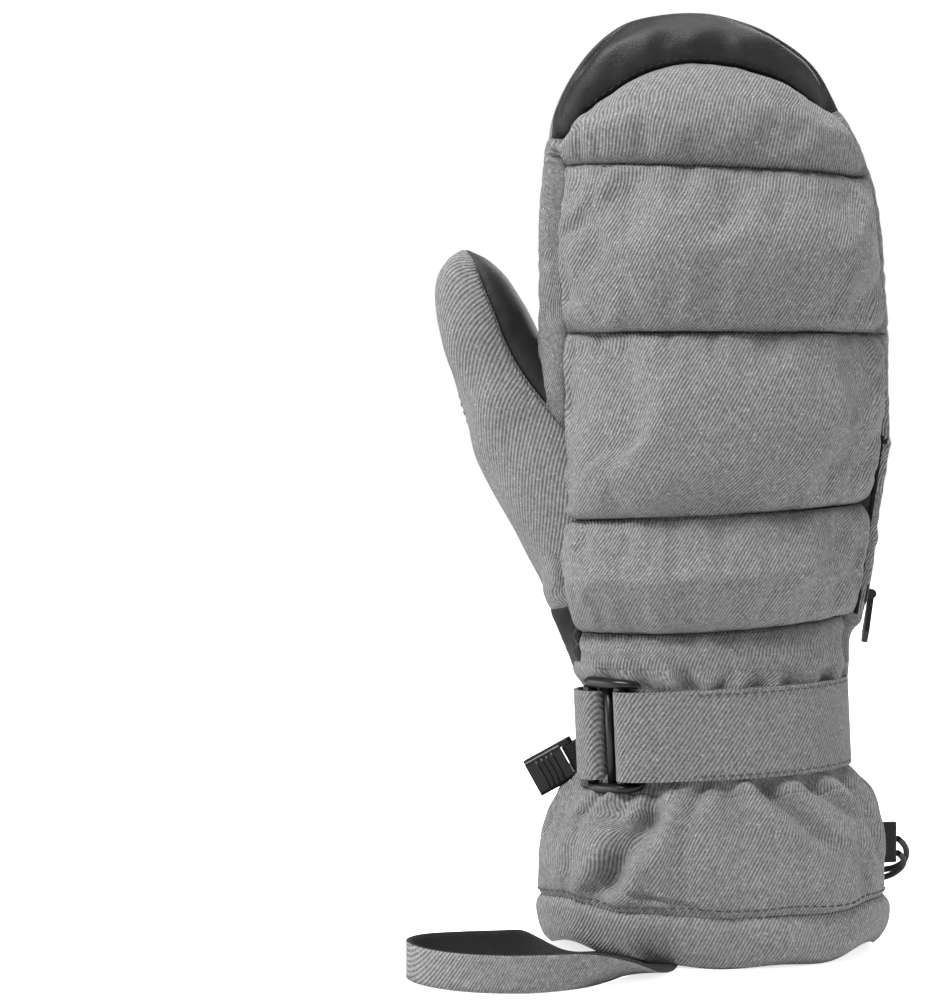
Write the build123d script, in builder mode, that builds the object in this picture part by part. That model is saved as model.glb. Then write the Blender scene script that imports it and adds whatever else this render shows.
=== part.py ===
"""Right-hand ski mitten: quilted back, grip palm, gauntlet cuff, wrist strap, drawcord, zip and leash.

The mitten stands on its cuff with the fingertips up. The origin is the centre of the cuff's mouth, at the
level of the hem's lowest face. +Z points to the fingertips, -Y to the back of the hand, -X to the thumb.
All sizes are in millimetres.
"""

import os
from math import atan2, cos, degrees, radians, sin, sqrt, tan

from build123d import *

# --- hand volume -------------------------------------------------------------------------------------------
HAND_BASE_Z = 97.0  # where the hand volume meets the wrist
HAND_LENGTH = 225.0  # wrist to fingertips
HAND_HALF_WIDTH = 61.0
HAND_HALF_DEPTH = 33.0
SHELL_WALL = 4.0  # padded outer panels of the hand
PAD_WALL = 9.0  # whole stuffed wall of the hand: outer panels and the insulation inside them
LINING = 1.6
# height share, sideways shift of the centre, width share, depth share
HAND_LEVELS = [
    (0.000, -1.5, 0.780, 0.92),
    (0.070, -1.5, 0.860, 0.95),
    (0.170, -1.5, 0.935, 0.99),
    (0.325, -0.5, 1.000, 1.00),
    (0.485, 0.3, 0.985, 1.00),
    (0.625, -0.2, 0.975, 0.98),
    (0.735, -1.5, 0.945, 0.92),
    (0.825, -4.0, 0.860, 0.80),
    (0.895, -6.2, 0.745, 0.66),
    (0.940, -7.0, 0.615, 0.52),
    (0.972, -8.0, 0.465, 0.38),
    (0.993, -8.0, 0.280, 0.22),
    (1.000, -8.0, 0.150, 0.12),
]

# --- seams of the hand volume ------------------------------------------------------------------------------
BACK_SEAM_Y = -10.0  # the gusset runs between these two seams
PALM_SEAM_Y = 10.0
# each quilting seam of the back: height at the thumb side and at the little-finger side
QUILT_SEAMS = [(270.6, 267.2), (212.0, 212.0), (147.5, 152.5), (108.5, 112.5)]
TIP_ARC = [(-70.0, 268.0), (-7.0, 306.5), (62.0, 272.0)]  # lower edge of the fingertip cap
LEATHER_SEAM = (246.0, 233.0)  # between palm leather and grip panel: thumb side, little-finger side

# --- thumb -------------------------------------------------------------------------------------------------
THUMB_SHELL = 2.5
THUMB_WALL = 6.0
THUMB_BASE_Z = 110.0
THUMB_LENGTH = 130.0
THUMB_HALF_WIDTH = 26.0
THUMB_HALF_DEPTH = 22.0
THUMB_FROM_EDGE = 8.0  # centre of the thumb's widest level, inside the hand's thumb-side edge
THUMB_Y = 12.0
# height share, sideways shift from the widest level's centre, width share, depth share, depth shift
THUMB_LEVELS = [
    (0.000, 9.0, 0.35, 0.40, 0.0),
    (0.070, 9.5, 0.60, 0.65, 0.0),
    (0.160, 9.0, 0.85, 0.86, 0.0),
    (0.280, 6.5, 0.97, 0.97, 0.0),
    (0.420, 0.0, 1.00, 1.00, 0.0),
    (0.580, -9.0, 0.94, 0.92, -0.5),
    (0.740, -20.0, 0.77, 0.77, -1.0),
    (0.855, -26.0, 0.61, 0.63, -1.5),
    (0.935, -30.0, 0.42, 0.45, -2.0),
    (0.980, -32.0, 0.26, 0.28, -2.0),
    (1.000, -33.0, 0.12, 0.14, -2.0),
]
THUMB_LEATHER_EDGE = [(-84.0, 245.0), (-76.0, 212.0), (-52.0, 172.0), (-20.0, 138.0)]

# --- wrist, cuff and hem -----------------------------------------------------------------------------------
WRIST_BOTTOM_Z = 52.0
HEM_TOP_Z = 24.0
CUFF_WALL = 3.6
WRIST_HALF_ACROSS = 43.1
WRIST_HALF_THROUGH = 30.8
# height, half width, half depth, wall share
CUFF_LEVELS = [
    (HEM_TOP_Z, 60.0, 44.0, 1.0),
    (38.0, 58.8, 42.8, 1.0),
    (46.0, 56.0, 40.4, 1.0),
    (WRIST_BOTTOM_Z, 48.6, 34.9, 1.0),
    (55.5, WRIST_HALF_ACROSS + 0.2, WRIST_HALF_THROUGH + 0.2, 1.0),
    (70.0, WRIST_HALF_ACROSS, WRIST_HALF_THROUGH, 1.1),
    (84.0, WRIST_HALF_ACROSS, WRIST_HALF_THROUGH, 1.1),
    (93.0, WRIST_HALF_ACROSS + 0.1, WRIST_HALF_THROUGH, 1.2),
    (HAND_BASE_Z, 47.6, 30.4, 1.5),
]
# height, half width, half depth of the hem's outside, then of its inside
HEM_LEVELS = [
    (0.0, 56.0, 40.5, 51.5, 36.0),
    (5.0, 59.3, 43.4, 52.2, 36.6),
    (13.0, 60.6, 44.7, 53.2, 37.4),
    (HEM_TOP_Z, 60.0, 44.0, 56.4, 40.4),
]
ELASTIC_WIDTH = 14.0
ELASTIC_THICKNESS = 1.0
ELASTIC_Z = 76.0

# --- wrist strap -------------------------------------------------------------------------------------------
STRAP_Z = 77.0
STRAP_TILT = 2.5  # rises towards the little-finger side
STRAP_WIDTH = 30.0
STRAP_THICKNESS = 1.4
PATCH_THICKNESS = 0.5  # hook and loop faces
PATCH_MARGIN = 2.5
SEWN = 0.02  # gap between faces that are sewn together
STRAP_GAP = 0.4  # between the hook and the loop face
STRAP_START = 372.0  # angles round the wrist: 180 is the thumb side, 270 the back, 360 the other side
STRAP_FREE_END = 366.0
TAB_END = 186.0
BAR_FOLD = 2.7  # inner radius of a strap's fold round a bar of the ring
BASE_SETBACK = 7.5  # degrees from the outer bar to the end of the strap's base
INNER_BAR_ANGLE = 208.0
OUTER_BAR_ANGLE = 228.0
RING_BAR = 1.6
RING_END = 3.4
RING_END_RADIUS = 2.6
RING_OVERHANG = 4.5
RING_CLEARANCE = 1.0  # between the strap's edge and the ring's end
MOVING_CLEARANCE = 0.4

# --- drawcord ----------------------------------------------------------------------------------------------
CORD = 2.8
CORD_Z = 12.0
CHANNEL_CLEARANCE = 0.4
EYELET_ANGLE = 50.0
EYELET_FLANGE = 5.6
EYELET_BORE = 3.4
EYELET_WALL = 0.5
EYELET_FACE = 0.9
STRAND_PITCH = 3.3
STRAND_BEND = 9.0  # beyond the hem's outside
STRAND_TURN = 16.0
LOCK_DISTANCE = 20.0  # from the strands' bend
LOCK_RADIUS = 6.8
LOCK_HEIGHT = 20.0
LOCK_FLOOR = 3.0
BUTTON_RADIUS = 4.8
BUTTON_TRAVEL = 3.0
BUTTON_HEAD = 5.0
SPRING_WIRE = 0.7
CORD_FIT = 0.3
CORD_END_GAP = 6.5
CORD_END_LENGTH = 13.0
CORD_END_RADIUS = 3.4
TETHER = 2.2
TETHER_TAB_ANGLE = 12.0
TETHER_TAB_Z = (27.0, 41.0)
TETHER_TAB_REACH = 8.0
TETHER_TAB_THICKNESS = 2.6

# --- zip pocket --------------------------------------------------------------------------------------------
ZIP_LENGTH = 62.0
ZIP_LOW_Z = 115.0
ZIP_TILT = 8.4
ZIP_INSET = 0.6  # zip plane below the hand's outside at its lower end
TAPE_WIDTH = 12.6
TAPE_THICKNESS = 1.0
CHAIN_WIDTH = 4.0
CHAIN_HEIGHT = 1.4
SLIDER_LENGTH = 8.0
SLIDER_WIDTH = 7.2
SLIDER_HEIGHT = 2.6
PULLER_LENGTH = 17.0
PULLER_WIDTH = 5.0
PULLER_THICKNESS = 1.8
PULLER_NECK = 1.4  # half width at the pin
ZIP_PIN = 0.7

# --- clip --------------------------------------------------------------------------------------------------
CLIP_WEBBING = 9.0
CLIP_WEBBING_THICKNESS = 1.1
CLIP_BAR = 1.5
CLIP_LENGTH = 17.0
CLIP_WIDTH = 13.4
CLIP_DEPTH = 6.4
CLIP_WALL = 1.4
CLIP_DROP = 29.0  # below horizontal
CLIP_REACH = 4.5  # bar beyond the wrist's side
CLIP_Y = 3.0
CLIP_Z = 65.5

# --- leash -------------------------------------------------------------------------------------------------
LEASH_WIDTH = 12.0
LEASH_THICKNESS = 1.2
LEASH_RISE = 0.3  # lower edge above the ground
LEASH_LIFT = 1.6  # of the half that lies on top where both halves meet
# stations: x, y, roll (0 on edge, 90 lying flat), share of the lift
LEASH_STATIONS = [
    (-20.0, -31.5, 90.0, 0.0),
    (-22.5, -42.0, 90.0, 0.0),
    (-27.5, -53.5, 80.0, 0.0),
    (-36.5, -64.5, 48.0, 0.0),
    (-49.0, -73.0, 15.0, 0.0),
    (-66.0, -78.5, 0.0, 0.0),
    (-84.0, -76.5, 0.0, 0.0),
    (-98.0, -67.5, 0.0, 0.0),
    (-104.5, -54.5, 0.0, 0.0),
    (-100.0, -44.0, 0.0, 0.0),
    (-87.0, -39.5, 0.0, 0.0),
    (-72.0, -37.0, 2.0, 0.0),
    (-61.0, -35.0, 50.0, 0.1),
    (-51.0, -33.0, 84.0, 0.6),
    (-40.0, -31.8, 90.0, 1.0),
    (-29.0, -31.5, 90.0, 1.0),
    (-17.0, -31.5, 90.0, 1.0),
]
LEASH_ROOT_X = -20.0
LEASH_ROOT_TOP = 22.0
HEM_RISE = 3.7  # hem above the ground where the leash passes under it
HEM_RISE_BOX = (-75.0, -13.0, -70.0, -12.0)  # x from, x to, y from, y to

# --- care label --------------------------------------------------------------------------------------------
LABEL_Z = (32.0, 68.0)
LABEL_WIDTH = 15.0
LABEL_THICKNESS = 0.6
LABEL_Y = 14.0

BIG = 200.0  # larger than the mitten, for cutting blocks
HAND_TOP_Z = HAND_BASE_Z + HAND_LENGTH


def hand_form(inset):
    """The hand volume, drawn in all round by inset at its widest."""
    across = 1 - inset / HAND_HALF_WIDTH
    through = 1 - inset / HAND_HALF_DEPTH
    upward = HAND_LENGTH - inset
    with BuildPart() as form:
        for height, shift, width, depth in HAND_LEVELS:
            with BuildSketch(Plane.XY.offset(HAND_BASE_Z + height * upward)):
                with Locations((shift, 0)):
                    Ellipse(HAND_HALF_WIDTH * width * across, HAND_HALF_DEPTH * depth * through)
        loft(ruled=True)
    return form.part


def thumb_form(inset):
    """The thumb volume, drawn in all round by inset at its widest."""
    across = 1 - inset / THUMB_HALF_WIDTH
    through = 1 - inset / THUMB_HALF_DEPTH
    upward = THUMB_LENGTH - 2 * inset
    centre = THUMB_FROM_EDGE - HAND_HALF_WIDTH
    with BuildPart() as form:
        for height, shift, width, depth, forward in THUMB_LEVELS:
            with BuildSketch(Plane.XY.offset(THUMB_BASE_Z + inset + height * upward)):
                with Locations((centre + shift, THUMB_Y + forward)):
                    Ellipse(THUMB_HALF_WIDTH * width * across, THUMB_HALF_DEPTH * depth * through)
        loft(ruled=True)
    return form.part


def cuff_form(inset_walls):
    """The wrist and cuff volume, drawn in by a number of walls; the wall is thicker at the wrist."""
    with BuildPart() as form:
        for height, across, through, share in CUFF_LEVELS:
            inset = CUFF_WALL * share * inset_walls
            with BuildSketch(Plane.XY.offset(height)):
                Ellipse(across - inset, through - inset)
        loft(ruled=True)
    return form.part


def lined_cuff_form():
    """The inside of the cuff's lining."""
    with BuildPart() as form:
        for height, across, through, share in CUFF_LEVELS:
            inset = CUFF_WALL * share + LINING
            with BuildSketch(Plane.XY.offset(height)):
                Ellipse(across - inset, through - inset)
        loft(ruled=True)
    return form.part


def save(part, name):
    """Labels a finished piece and writes it as a STEP file."""
    part.label = name
    export_step(part, f"parts/{name}.step")


os.makedirs("parts", exist_ok=True)

HAND_OUTSIDE = hand_form(0)
HAND_MIDDLE = hand_form(SHELL_WALL)
HAND_INSIDE = hand_form(PAD_WALL)
HAND_CAVITY = hand_form(PAD_WALL + LINING)
THUMB_OUTSIDE = thumb_form(0)
THUMB_MIDDLE = thumb_form(THUMB_SHELL)
THUMB_INSIDE = thumb_form(THUMB_WALL)
THUMB_CAVITY = thumb_form(THUMB_WALL + LINING)
CUFF_OUTSIDE = cuff_form(0)
CUFF_INSIDE = cuff_form(1)
CUFF_CAVITY = lined_cuff_form()


def hand_layer(outside, inside):
    """A layer of the hand's wall, with the hole that the thumb opens through."""
    with BuildPart() as layer:
        add(outside)
        add(inside, mode=Mode.SUBTRACT)
        add(THUMB_INSIDE, mode=Mode.SUBTRACT)
    return layer.part


HAND_WALL = hand_layer(HAND_OUTSIDE, HAND_MIDDLE)


def band(lower, upper):
    """A closed outline between two sloping seams, each given by its height at the two sides."""
    with BuildLine() as outline:
        Polyline(
            (-BIG, lower[0] - (lower[1] - lower[0]) * (BIG - HAND_HALF_WIDTH) / (2 * HAND_HALF_WIDTH)),
            (BIG, lower[1] + (lower[1] - lower[0]) * (BIG - HAND_HALF_WIDTH) / (2 * HAND_HALF_WIDTH)),
            (BIG, upper[1] + (upper[1] - upper[0]) * (BIG - HAND_HALF_WIDTH) / (2 * HAND_HALF_WIDTH)),
            (-BIG, upper[0] - (upper[1] - upper[0]) * (BIG - HAND_HALF_WIDTH) / (2 * HAND_HALF_WIDTH)),
            close=True,
        )
    return outline.line


def under_tip_arc():
    """A closed outline of everything below the fingertip cap's lower edge."""
    with BuildLine() as outline:
        arc = ThreePointArc(*TIP_ARC)
        Polyline(arc @ 1, (BIG, TIP_ARC[2][1]), (BIG, 0), (-BIG, 0), (-BIG, TIP_ARC[0][1]), arc @ 0)
    return outline.line


def back_piece(lower, upper, below_cap=True):
    """A pad of the back between two seams, either below the fingertip cap or above its edge."""
    with BuildPart() as pad:
        add(HAND_WALL)
        with BuildSketch(Plane.XZ.offset(-BACK_SEAM_Y)):
            add(band(lower, upper))
            make_face()
        extrude(amount=BIG, mode=Mode.INTERSECT)
        with BuildSketch(Plane.XZ.offset(-BACK_SEAM_Y)):
            add(under_tip_arc())
            make_face()
        extrude(amount=BIG, mode=Mode.INTERSECT if below_cap else Mode.SUBTRACT)
    return pad.part


def make_back():
    """The quilted pads of the back, from the fingertips to the wrist."""
    base = (HAND_BASE_Z, HAND_BASE_Z)
    top = (HAND_TOP_Z + 1, HAND_TOP_Z + 1)
    save(back_piece(QUILT_SEAMS[1], top, below_cap=False), "fingertip_cap")
    edges = [top] + QUILT_SEAMS + [base]
    names = ["back_baffle_1", "back_baffle_2", "back_baffle_3", "back_baffle_4", "back_band"]
    for name, upper, lower in zip(names, edges, edges[1:]):
        save(back_piece(lower, upper), name)


def make_palm():
    """The palm: leather over the fingers, a grip panel below it."""
    base = (HAND_BASE_Z, HAND_BASE_Z)
    top = (HAND_TOP_Z + 1, HAND_TOP_Z + 1)
    for name, lower, upper in (("palm_leather", LEATHER_SEAM, top), ("palm_grip", base, LEATHER_SEAM)):
        with BuildPart() as panel:
            add(HAND_WALL)
            with BuildSketch(Plane.XZ.offset(-PALM_SEAM_Y)):
                add(band(lower, upper))
                make_face()
            extrude(amount=-BIG, mode=Mode.INTERSECT)
        save(panel.part, name)


def side_at(height):
    """The little-finger side of the hand volume at a height, by straight steps between its levels."""
    share = (height - HAND_BASE_Z) / HAND_LENGTH
    for low, high in zip(HAND_LEVELS, HAND_LEVELS[1:]):
        if low[0] <= share <= high[0]:
            part = (share - low[0]) / (high[0] - low[0])
            shift = low[1] + part * (high[1] - low[1])
            width = low[2] + part * (high[2] - low[2])
            return shift + HAND_HALF_WIDTH * width
    raise ValueError("height is outside the hand volume")


ZIP_PLANE = Plane(
    origin=(side_at(ZIP_LOW_Z) - ZIP_INSET, 0, ZIP_LOW_Z),
    x_dir=(0, 1, 0),
    z_dir=(cos(radians(ZIP_TILT)), 0, -sin(radians(ZIP_TILT))),
)
ZIP_SEAT = -(TAPE_THICKNESS + CHAIN_HEIGHT)  # underside of the tape in the zip's plane


def zip_seat():
    """The seat of the zip's tape and all above it, to be cut out of the hand's layers."""
    with BuildPart() as seat:
        with BuildSketch(ZIP_PLANE.offset(ZIP_SEAT)):
            with Locations((0, ZIP_LENGTH / 2)):
                Rectangle(TAPE_WIDTH, ZIP_LENGTH)
        extrude(amount=60)
    return seat.part


def make_gusset():
    """The gusset round the edge of the hand, in two strips that meet over the fingertips."""
    tip_x = HAND_LEVELS[-1][1]
    for name, side in (("gusset_thumb_side", -1), ("gusset_little_finger_side", 1)):
        with BuildPart() as strip:
            add(HAND_WALL)
            with BuildSketch(Plane.XZ.offset(-PALM_SEAM_Y)):
                with Locations((tip_x + side * BIG / 2, HAND_BASE_Z + BIG)):
                    Rectangle(BIG, 2 * BIG)
            extrude(amount=PALM_SEAM_Y - BACK_SEAM_Y, mode=Mode.INTERSECT)
            if side > 0:
                add(zip_seat(), mode=Mode.SUBTRACT)
        save(strip.part, name)


def make_zip():
    """The pocket zip: tape, chain, end stops, slider and puller."""
    with BuildPart() as tape:
        with BuildSketch(ZIP_PLANE.offset(ZIP_SEAT)):
            with Locations((0, ZIP_LENGTH / 2)):
                Rectangle(TAPE_WIDTH, ZIP_LENGTH)
        extrude(amount=TAPE_THICKNESS)
    save(tape.part, "zip_tape")

    with BuildPart() as chain:
        with BuildSketch(ZIP_PLANE.offset(ZIP_SEAT + TAPE_THICKNESS)):
            with Locations((0, ZIP_LENGTH / 2)):
                Rectangle(CHAIN_WIDTH, ZIP_LENGTH - 6)
        extrude(amount=CHAIN_HEIGHT)
    save(chain.part, "zip_chain")

    with BuildPart() as stops:
        with BuildSketch(ZIP_PLANE.offset(ZIP_SEAT + TAPE_THICKNESS)):
            with Locations((0, 1.5), (0, ZIP_LENGTH - 1.5)):
                Rectangle(CHAIN_WIDTH + 1, 2.4)
        extrude(amount=CHAIN_HEIGHT + 0.6)
    save(stops.part, "zip_stops")

    clearance = 0.15
    floor = ZIP_SEAT + TAPE_THICKNESS + clearance
    start = 3.4
    with BuildPart() as slider:
        with BuildSketch(ZIP_PLANE.offset(floor)):
            with Locations((0, start + SLIDER_LENGTH / 2)):
                RectangleRounded(SLIDER_WIDTH, SLIDER_LENGTH, 1.6)
        extrude(amount=SLIDER_HEIGHT)
        with BuildSketch(ZIP_PLANE.offset(floor)):
            with Locations((0, start + SLIDER_LENGTH / 2)):
                Rectangle(CHAIN_WIDTH + 2 * clearance, SLIDER_LENGTH + 1)
        extrude(amount=CHAIN_HEIGHT, mode=Mode.SUBTRACT)
        with BuildSketch(ZIP_PLANE.offset(floor + SLIDER_HEIGHT - 0.3)):
            with Locations((-2.3, start + 4), (2.3, start + 4)):
                Rectangle(1.0, 3.0)
        extrude(amount=2.5)
        with BuildSketch(zip_pin_plane(start)):
            Circle(ZIP_PIN)
        extrude(amount=2.4, both=True)
    save(slider.part, "zip_slider")

    with BuildPart() as puller:
        with BuildSketch(zip_pin_plane(start)):
            Circle(1.6)
        extrude(amount=1.6, both=True)
        pin = zip_pin_plane(start)
        with BuildSketch(Plane(origin=pin.origin, x_dir=(0, 1, 0), z_dir=ZIP_PLANE.z_dir)):
            with BuildLine():
                Polyline(
                    (-PULLER_NECK, 0),
                    (-PULLER_WIDTH / 2, -PULLER_LENGTH + 4),
                    (-PULLER_WIDTH / 2 + 1, -PULLER_LENGTH),
                    (PULLER_WIDTH / 2 - 1, -PULLER_LENGTH),
                    (PULLER_WIDTH / 2, -PULLER_LENGTH + 4),
                    (PULLER_NECK, 0),
                    close=True,
                )
            make_face()
        extrude(amount=PULLER_THICKNESS / 2, both=True)
        with BuildSketch(zip_pin_plane(start)):
            Circle(ZIP_PIN + 0.08)
        extrude(amount=3, both=True, mode=Mode.SUBTRACT)
    save(puller.part, "zip_puller")
    return pin


def zip_pin_plane(start):
    """Plane square to the puller's pin, centred on it."""
    height = ZIP_SEAT + TAPE_THICKNESS + SLIDER_HEIGHT + 1.9
    centre = ZIP_PLANE.from_local_coords((0, start + 4, height))
    return Plane(origin=centre, x_dir=ZIP_PLANE.y_dir, z_dir=ZIP_PLANE.x_dir)


def make_thumb():
    """The thumb's three panels, outside the hand volume."""
    with BuildPart() as shell:
        add(THUMB_OUTSIDE)
        add(THUMB_MIDDLE, mode=Mode.SUBTRACT)
        add(HAND_OUTSIDE, mode=Mode.SUBTRACT)
    with BuildLine() as inner_side:
        edge = Polyline(*THUMB_LEATHER_EDGE)
        Polyline(
            edge @ 1,
            (BIG, THUMB_LEATHER_EDGE[-1][1]),
            (BIG, 2 * BIG),
            (THUMB_LEATHER_EDGE[0][0], 2 * BIG),
            edge @ 0,
        )
    with BuildPart() as leather:
        add(shell.part)
        with BuildSketch(Plane.XZ):
            add(inner_side.line)
            make_face()
        extrude(amount=BIG, both=True, mode=Mode.INTERSECT)
    save(leather.part, "thumb_leather")
    for name, side in (("thumb_back_panel", -1), ("thumb_front_panel", 1)):
        with BuildPart() as panel:
            add(shell.part)
            add(leather.part, mode=Mode.SUBTRACT)
            with Locations((0, THUMB_Y + side * BIG / 2, BIG / 2)):
                Box(2 * BIG, BIG, 2 * BIG, mode=Mode.INTERSECT)
        save(panel.part, name)


def make_insulation():
    """The insulation between the outer panels and the linings."""
    with BuildPart() as hand:
        add(hand_layer(HAND_MIDDLE, HAND_INSIDE))
        add(zip_seat(), mode=Mode.SUBTRACT)
    save(hand.part, "hand_insulation")
    with BuildPart() as thumb:
        add(THUMB_MIDDLE)
        add(THUMB_INSIDE, mode=Mode.SUBTRACT)
        add(HAND_OUTSIDE, mode=Mode.SUBTRACT)
    save(thumb.part, "thumb_insulation")


def make_linings():
    """The lining bags of the hand, the thumb and the cuff."""
    with BuildPart() as hand:
        add(HAND_INSIDE)
        add(HAND_CAVITY, mode=Mode.SUBTRACT)
        add(THUMB_CAVITY, mode=Mode.SUBTRACT)
    save(hand.part, "hand_lining")
    with BuildPart() as thumb:
        add(THUMB_INSIDE)
        add(THUMB_CAVITY, mode=Mode.SUBTRACT)
        add(HAND_INSIDE, mode=Mode.SUBTRACT)
    save(thumb.part, "thumb_lining")
    with BuildPart() as cuff:
        add(CUFF_INSIDE)
        add(CUFF_CAVITY, mode=Mode.SUBTRACT)
    save(cuff.part, "cuff_lining")


def in_half(low, high, side):
    """Keeps what is between two heights, on the palm side (1) or the back (-1)."""
    with Locations((0, side * BIG / 2, (low + high) / 2)):
        Box(2 * BIG, BIG, high - low, mode=Mode.INTERSECT)


def sleeve(outer, inner):
    """The cuff's volume between two depths below its outside."""
    with BuildPart() as outside:
        for height, across, through, share in CUFF_LEVELS:
            with BuildSketch(Plane.XY.offset(height)):
                Ellipse(across - outer, through - outer)
        loft(ruled=True)
    with BuildPart() as inside:
        for height, across, through, share in CUFF_LEVELS:
            with BuildSketch(Plane.XY.offset(height)):
                Ellipse(across - inner, through - inner)
        loft(ruled=True)
    return outside.part - inside.part


def make_cuff():
    """Wrist and cuff panels, and the elastic sewn inside the palm side of the wrist."""
    with BuildPart() as elastic:
        add(sleeve(1.4, 1.4 + ELASTIC_THICKNESS))
        in_half(ELASTIC_Z - ELASTIC_WIDTH / 2, ELASTIC_Z + ELASTIC_WIDTH / 2, 1)
    save(elastic.part, "wrist_elastic")
    panels = (
        ("wrist_back_panel", WRIST_BOTTOM_Z, BIG, -1),
        ("wrist_palm_panel", WRIST_BOTTOM_Z, BIG, 1),
        ("cuff_back_panel", 0, WRIST_BOTTOM_Z, -1),
        ("cuff_palm_panel", 0, WRIST_BOTTOM_Z, 1),
    )
    for name, low, high, side in panels:
        with BuildPart() as panel:
            add(CUFF_OUTSIDE)
            add(CUFF_INSIDE, mode=Mode.SUBTRACT)
            in_half(low, high, side)
            if name == "wrist_palm_panel":
                add(elastic.part, mode=Mode.SUBTRACT)
        save(panel.part, name)


def around(angle, depth, across=None, through=None):
    """A point on the ring of the wrist at an angle, a depth above (+) or below (-) its outside."""
    across = WRIST_HALF_ACROSS if across is None else across
    through = WRIST_HALF_THROUGH if through is None else through
    turn = radians(angle)
    normal = Vector(cos(turn) / across, sin(turn) / through).normalized()
    return Vector(across * cos(turn), through * sin(turn)) + normal * depth


def ribbon(points, thickness):
    """The closed outline of a ribbon of even thickness along a smooth run of points."""
    left = []
    right = []
    for index, point in enumerate(points):
        before = points[max(index - 1, 0)]
        after = points[min(index + 1, len(points) - 1)]
        along = (Vector(*after) - Vector(*before)).normalized()
        across = Vector(-along.Y, along.X) * thickness / 2
        left.append(Vector(*point) + across)
        right.append(Vector(*point) - across)
    with BuildLine() as outline:
        one = Spline(*left)
        other = Spline(*reversed(right))
        Line(one @ 1, other @ 0)
        Line(other @ 1, one @ 0)
    return outline.line


STRAP_PLANE = Plane(
    origin=(0, 0, STRAP_Z),
    x_dir=(cos(radians(STRAP_TILT)), 0, sin(radians(STRAP_TILT))),
    z_dir=(-sin(radians(STRAP_TILT)), 0, cos(radians(STRAP_TILT))),
)
FOLD_MID = BAR_FOLD + STRAP_THICKNESS / 2
BAR_DEPTH = MOVING_CLEARANCE + 0.2 + BAR_FOLD + STRAP_THICKNESS
TAIL_DEPTH = STRAP_THICKNESS * 1.5 + 2 * PATCH_THICKNESS + STRAP_GAP


def fold(bar, first, last, steps=14):
    """Points of a strap's fold round a bar, from one direction to another."""
    turns = [radians(first + (last - first) * step / steps) for step in range(steps + 1)]
    return [Vector(bar.X + FOLD_MID * cos(turn), bar.Y + FOLD_MID * sin(turn)) for turn in turns]


def wrist_run(first, last, depth, step=6):
    """Points round the wrist at one height above its outside."""
    count = max(2, round(abs(last - first) / step))
    return [around(first + (last - first) * share / count, depth) for share in range(count + 1)]


def normal_angle(angle):
    """Direction of the wrist's outward normal at an angle."""
    out = around(angle, 1) - around(angle, 0)
    return degrees(atan2(out.Y, out.X))


def strap_layer(points, thickness, width, name, trim=False):
    """One layer of the strap, its profile extruded across the strap's width."""
    with BuildPart() as layer:
        with BuildSketch(STRAP_PLANE):
            add(ribbon(points, thickness))
            make_face()
        extrude(amount=width / 2, both=True)
        if trim:
            add(CUFF_OUTSIDE, mode=Mode.SUBTRACT)
    save(layer.part, name)


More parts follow.
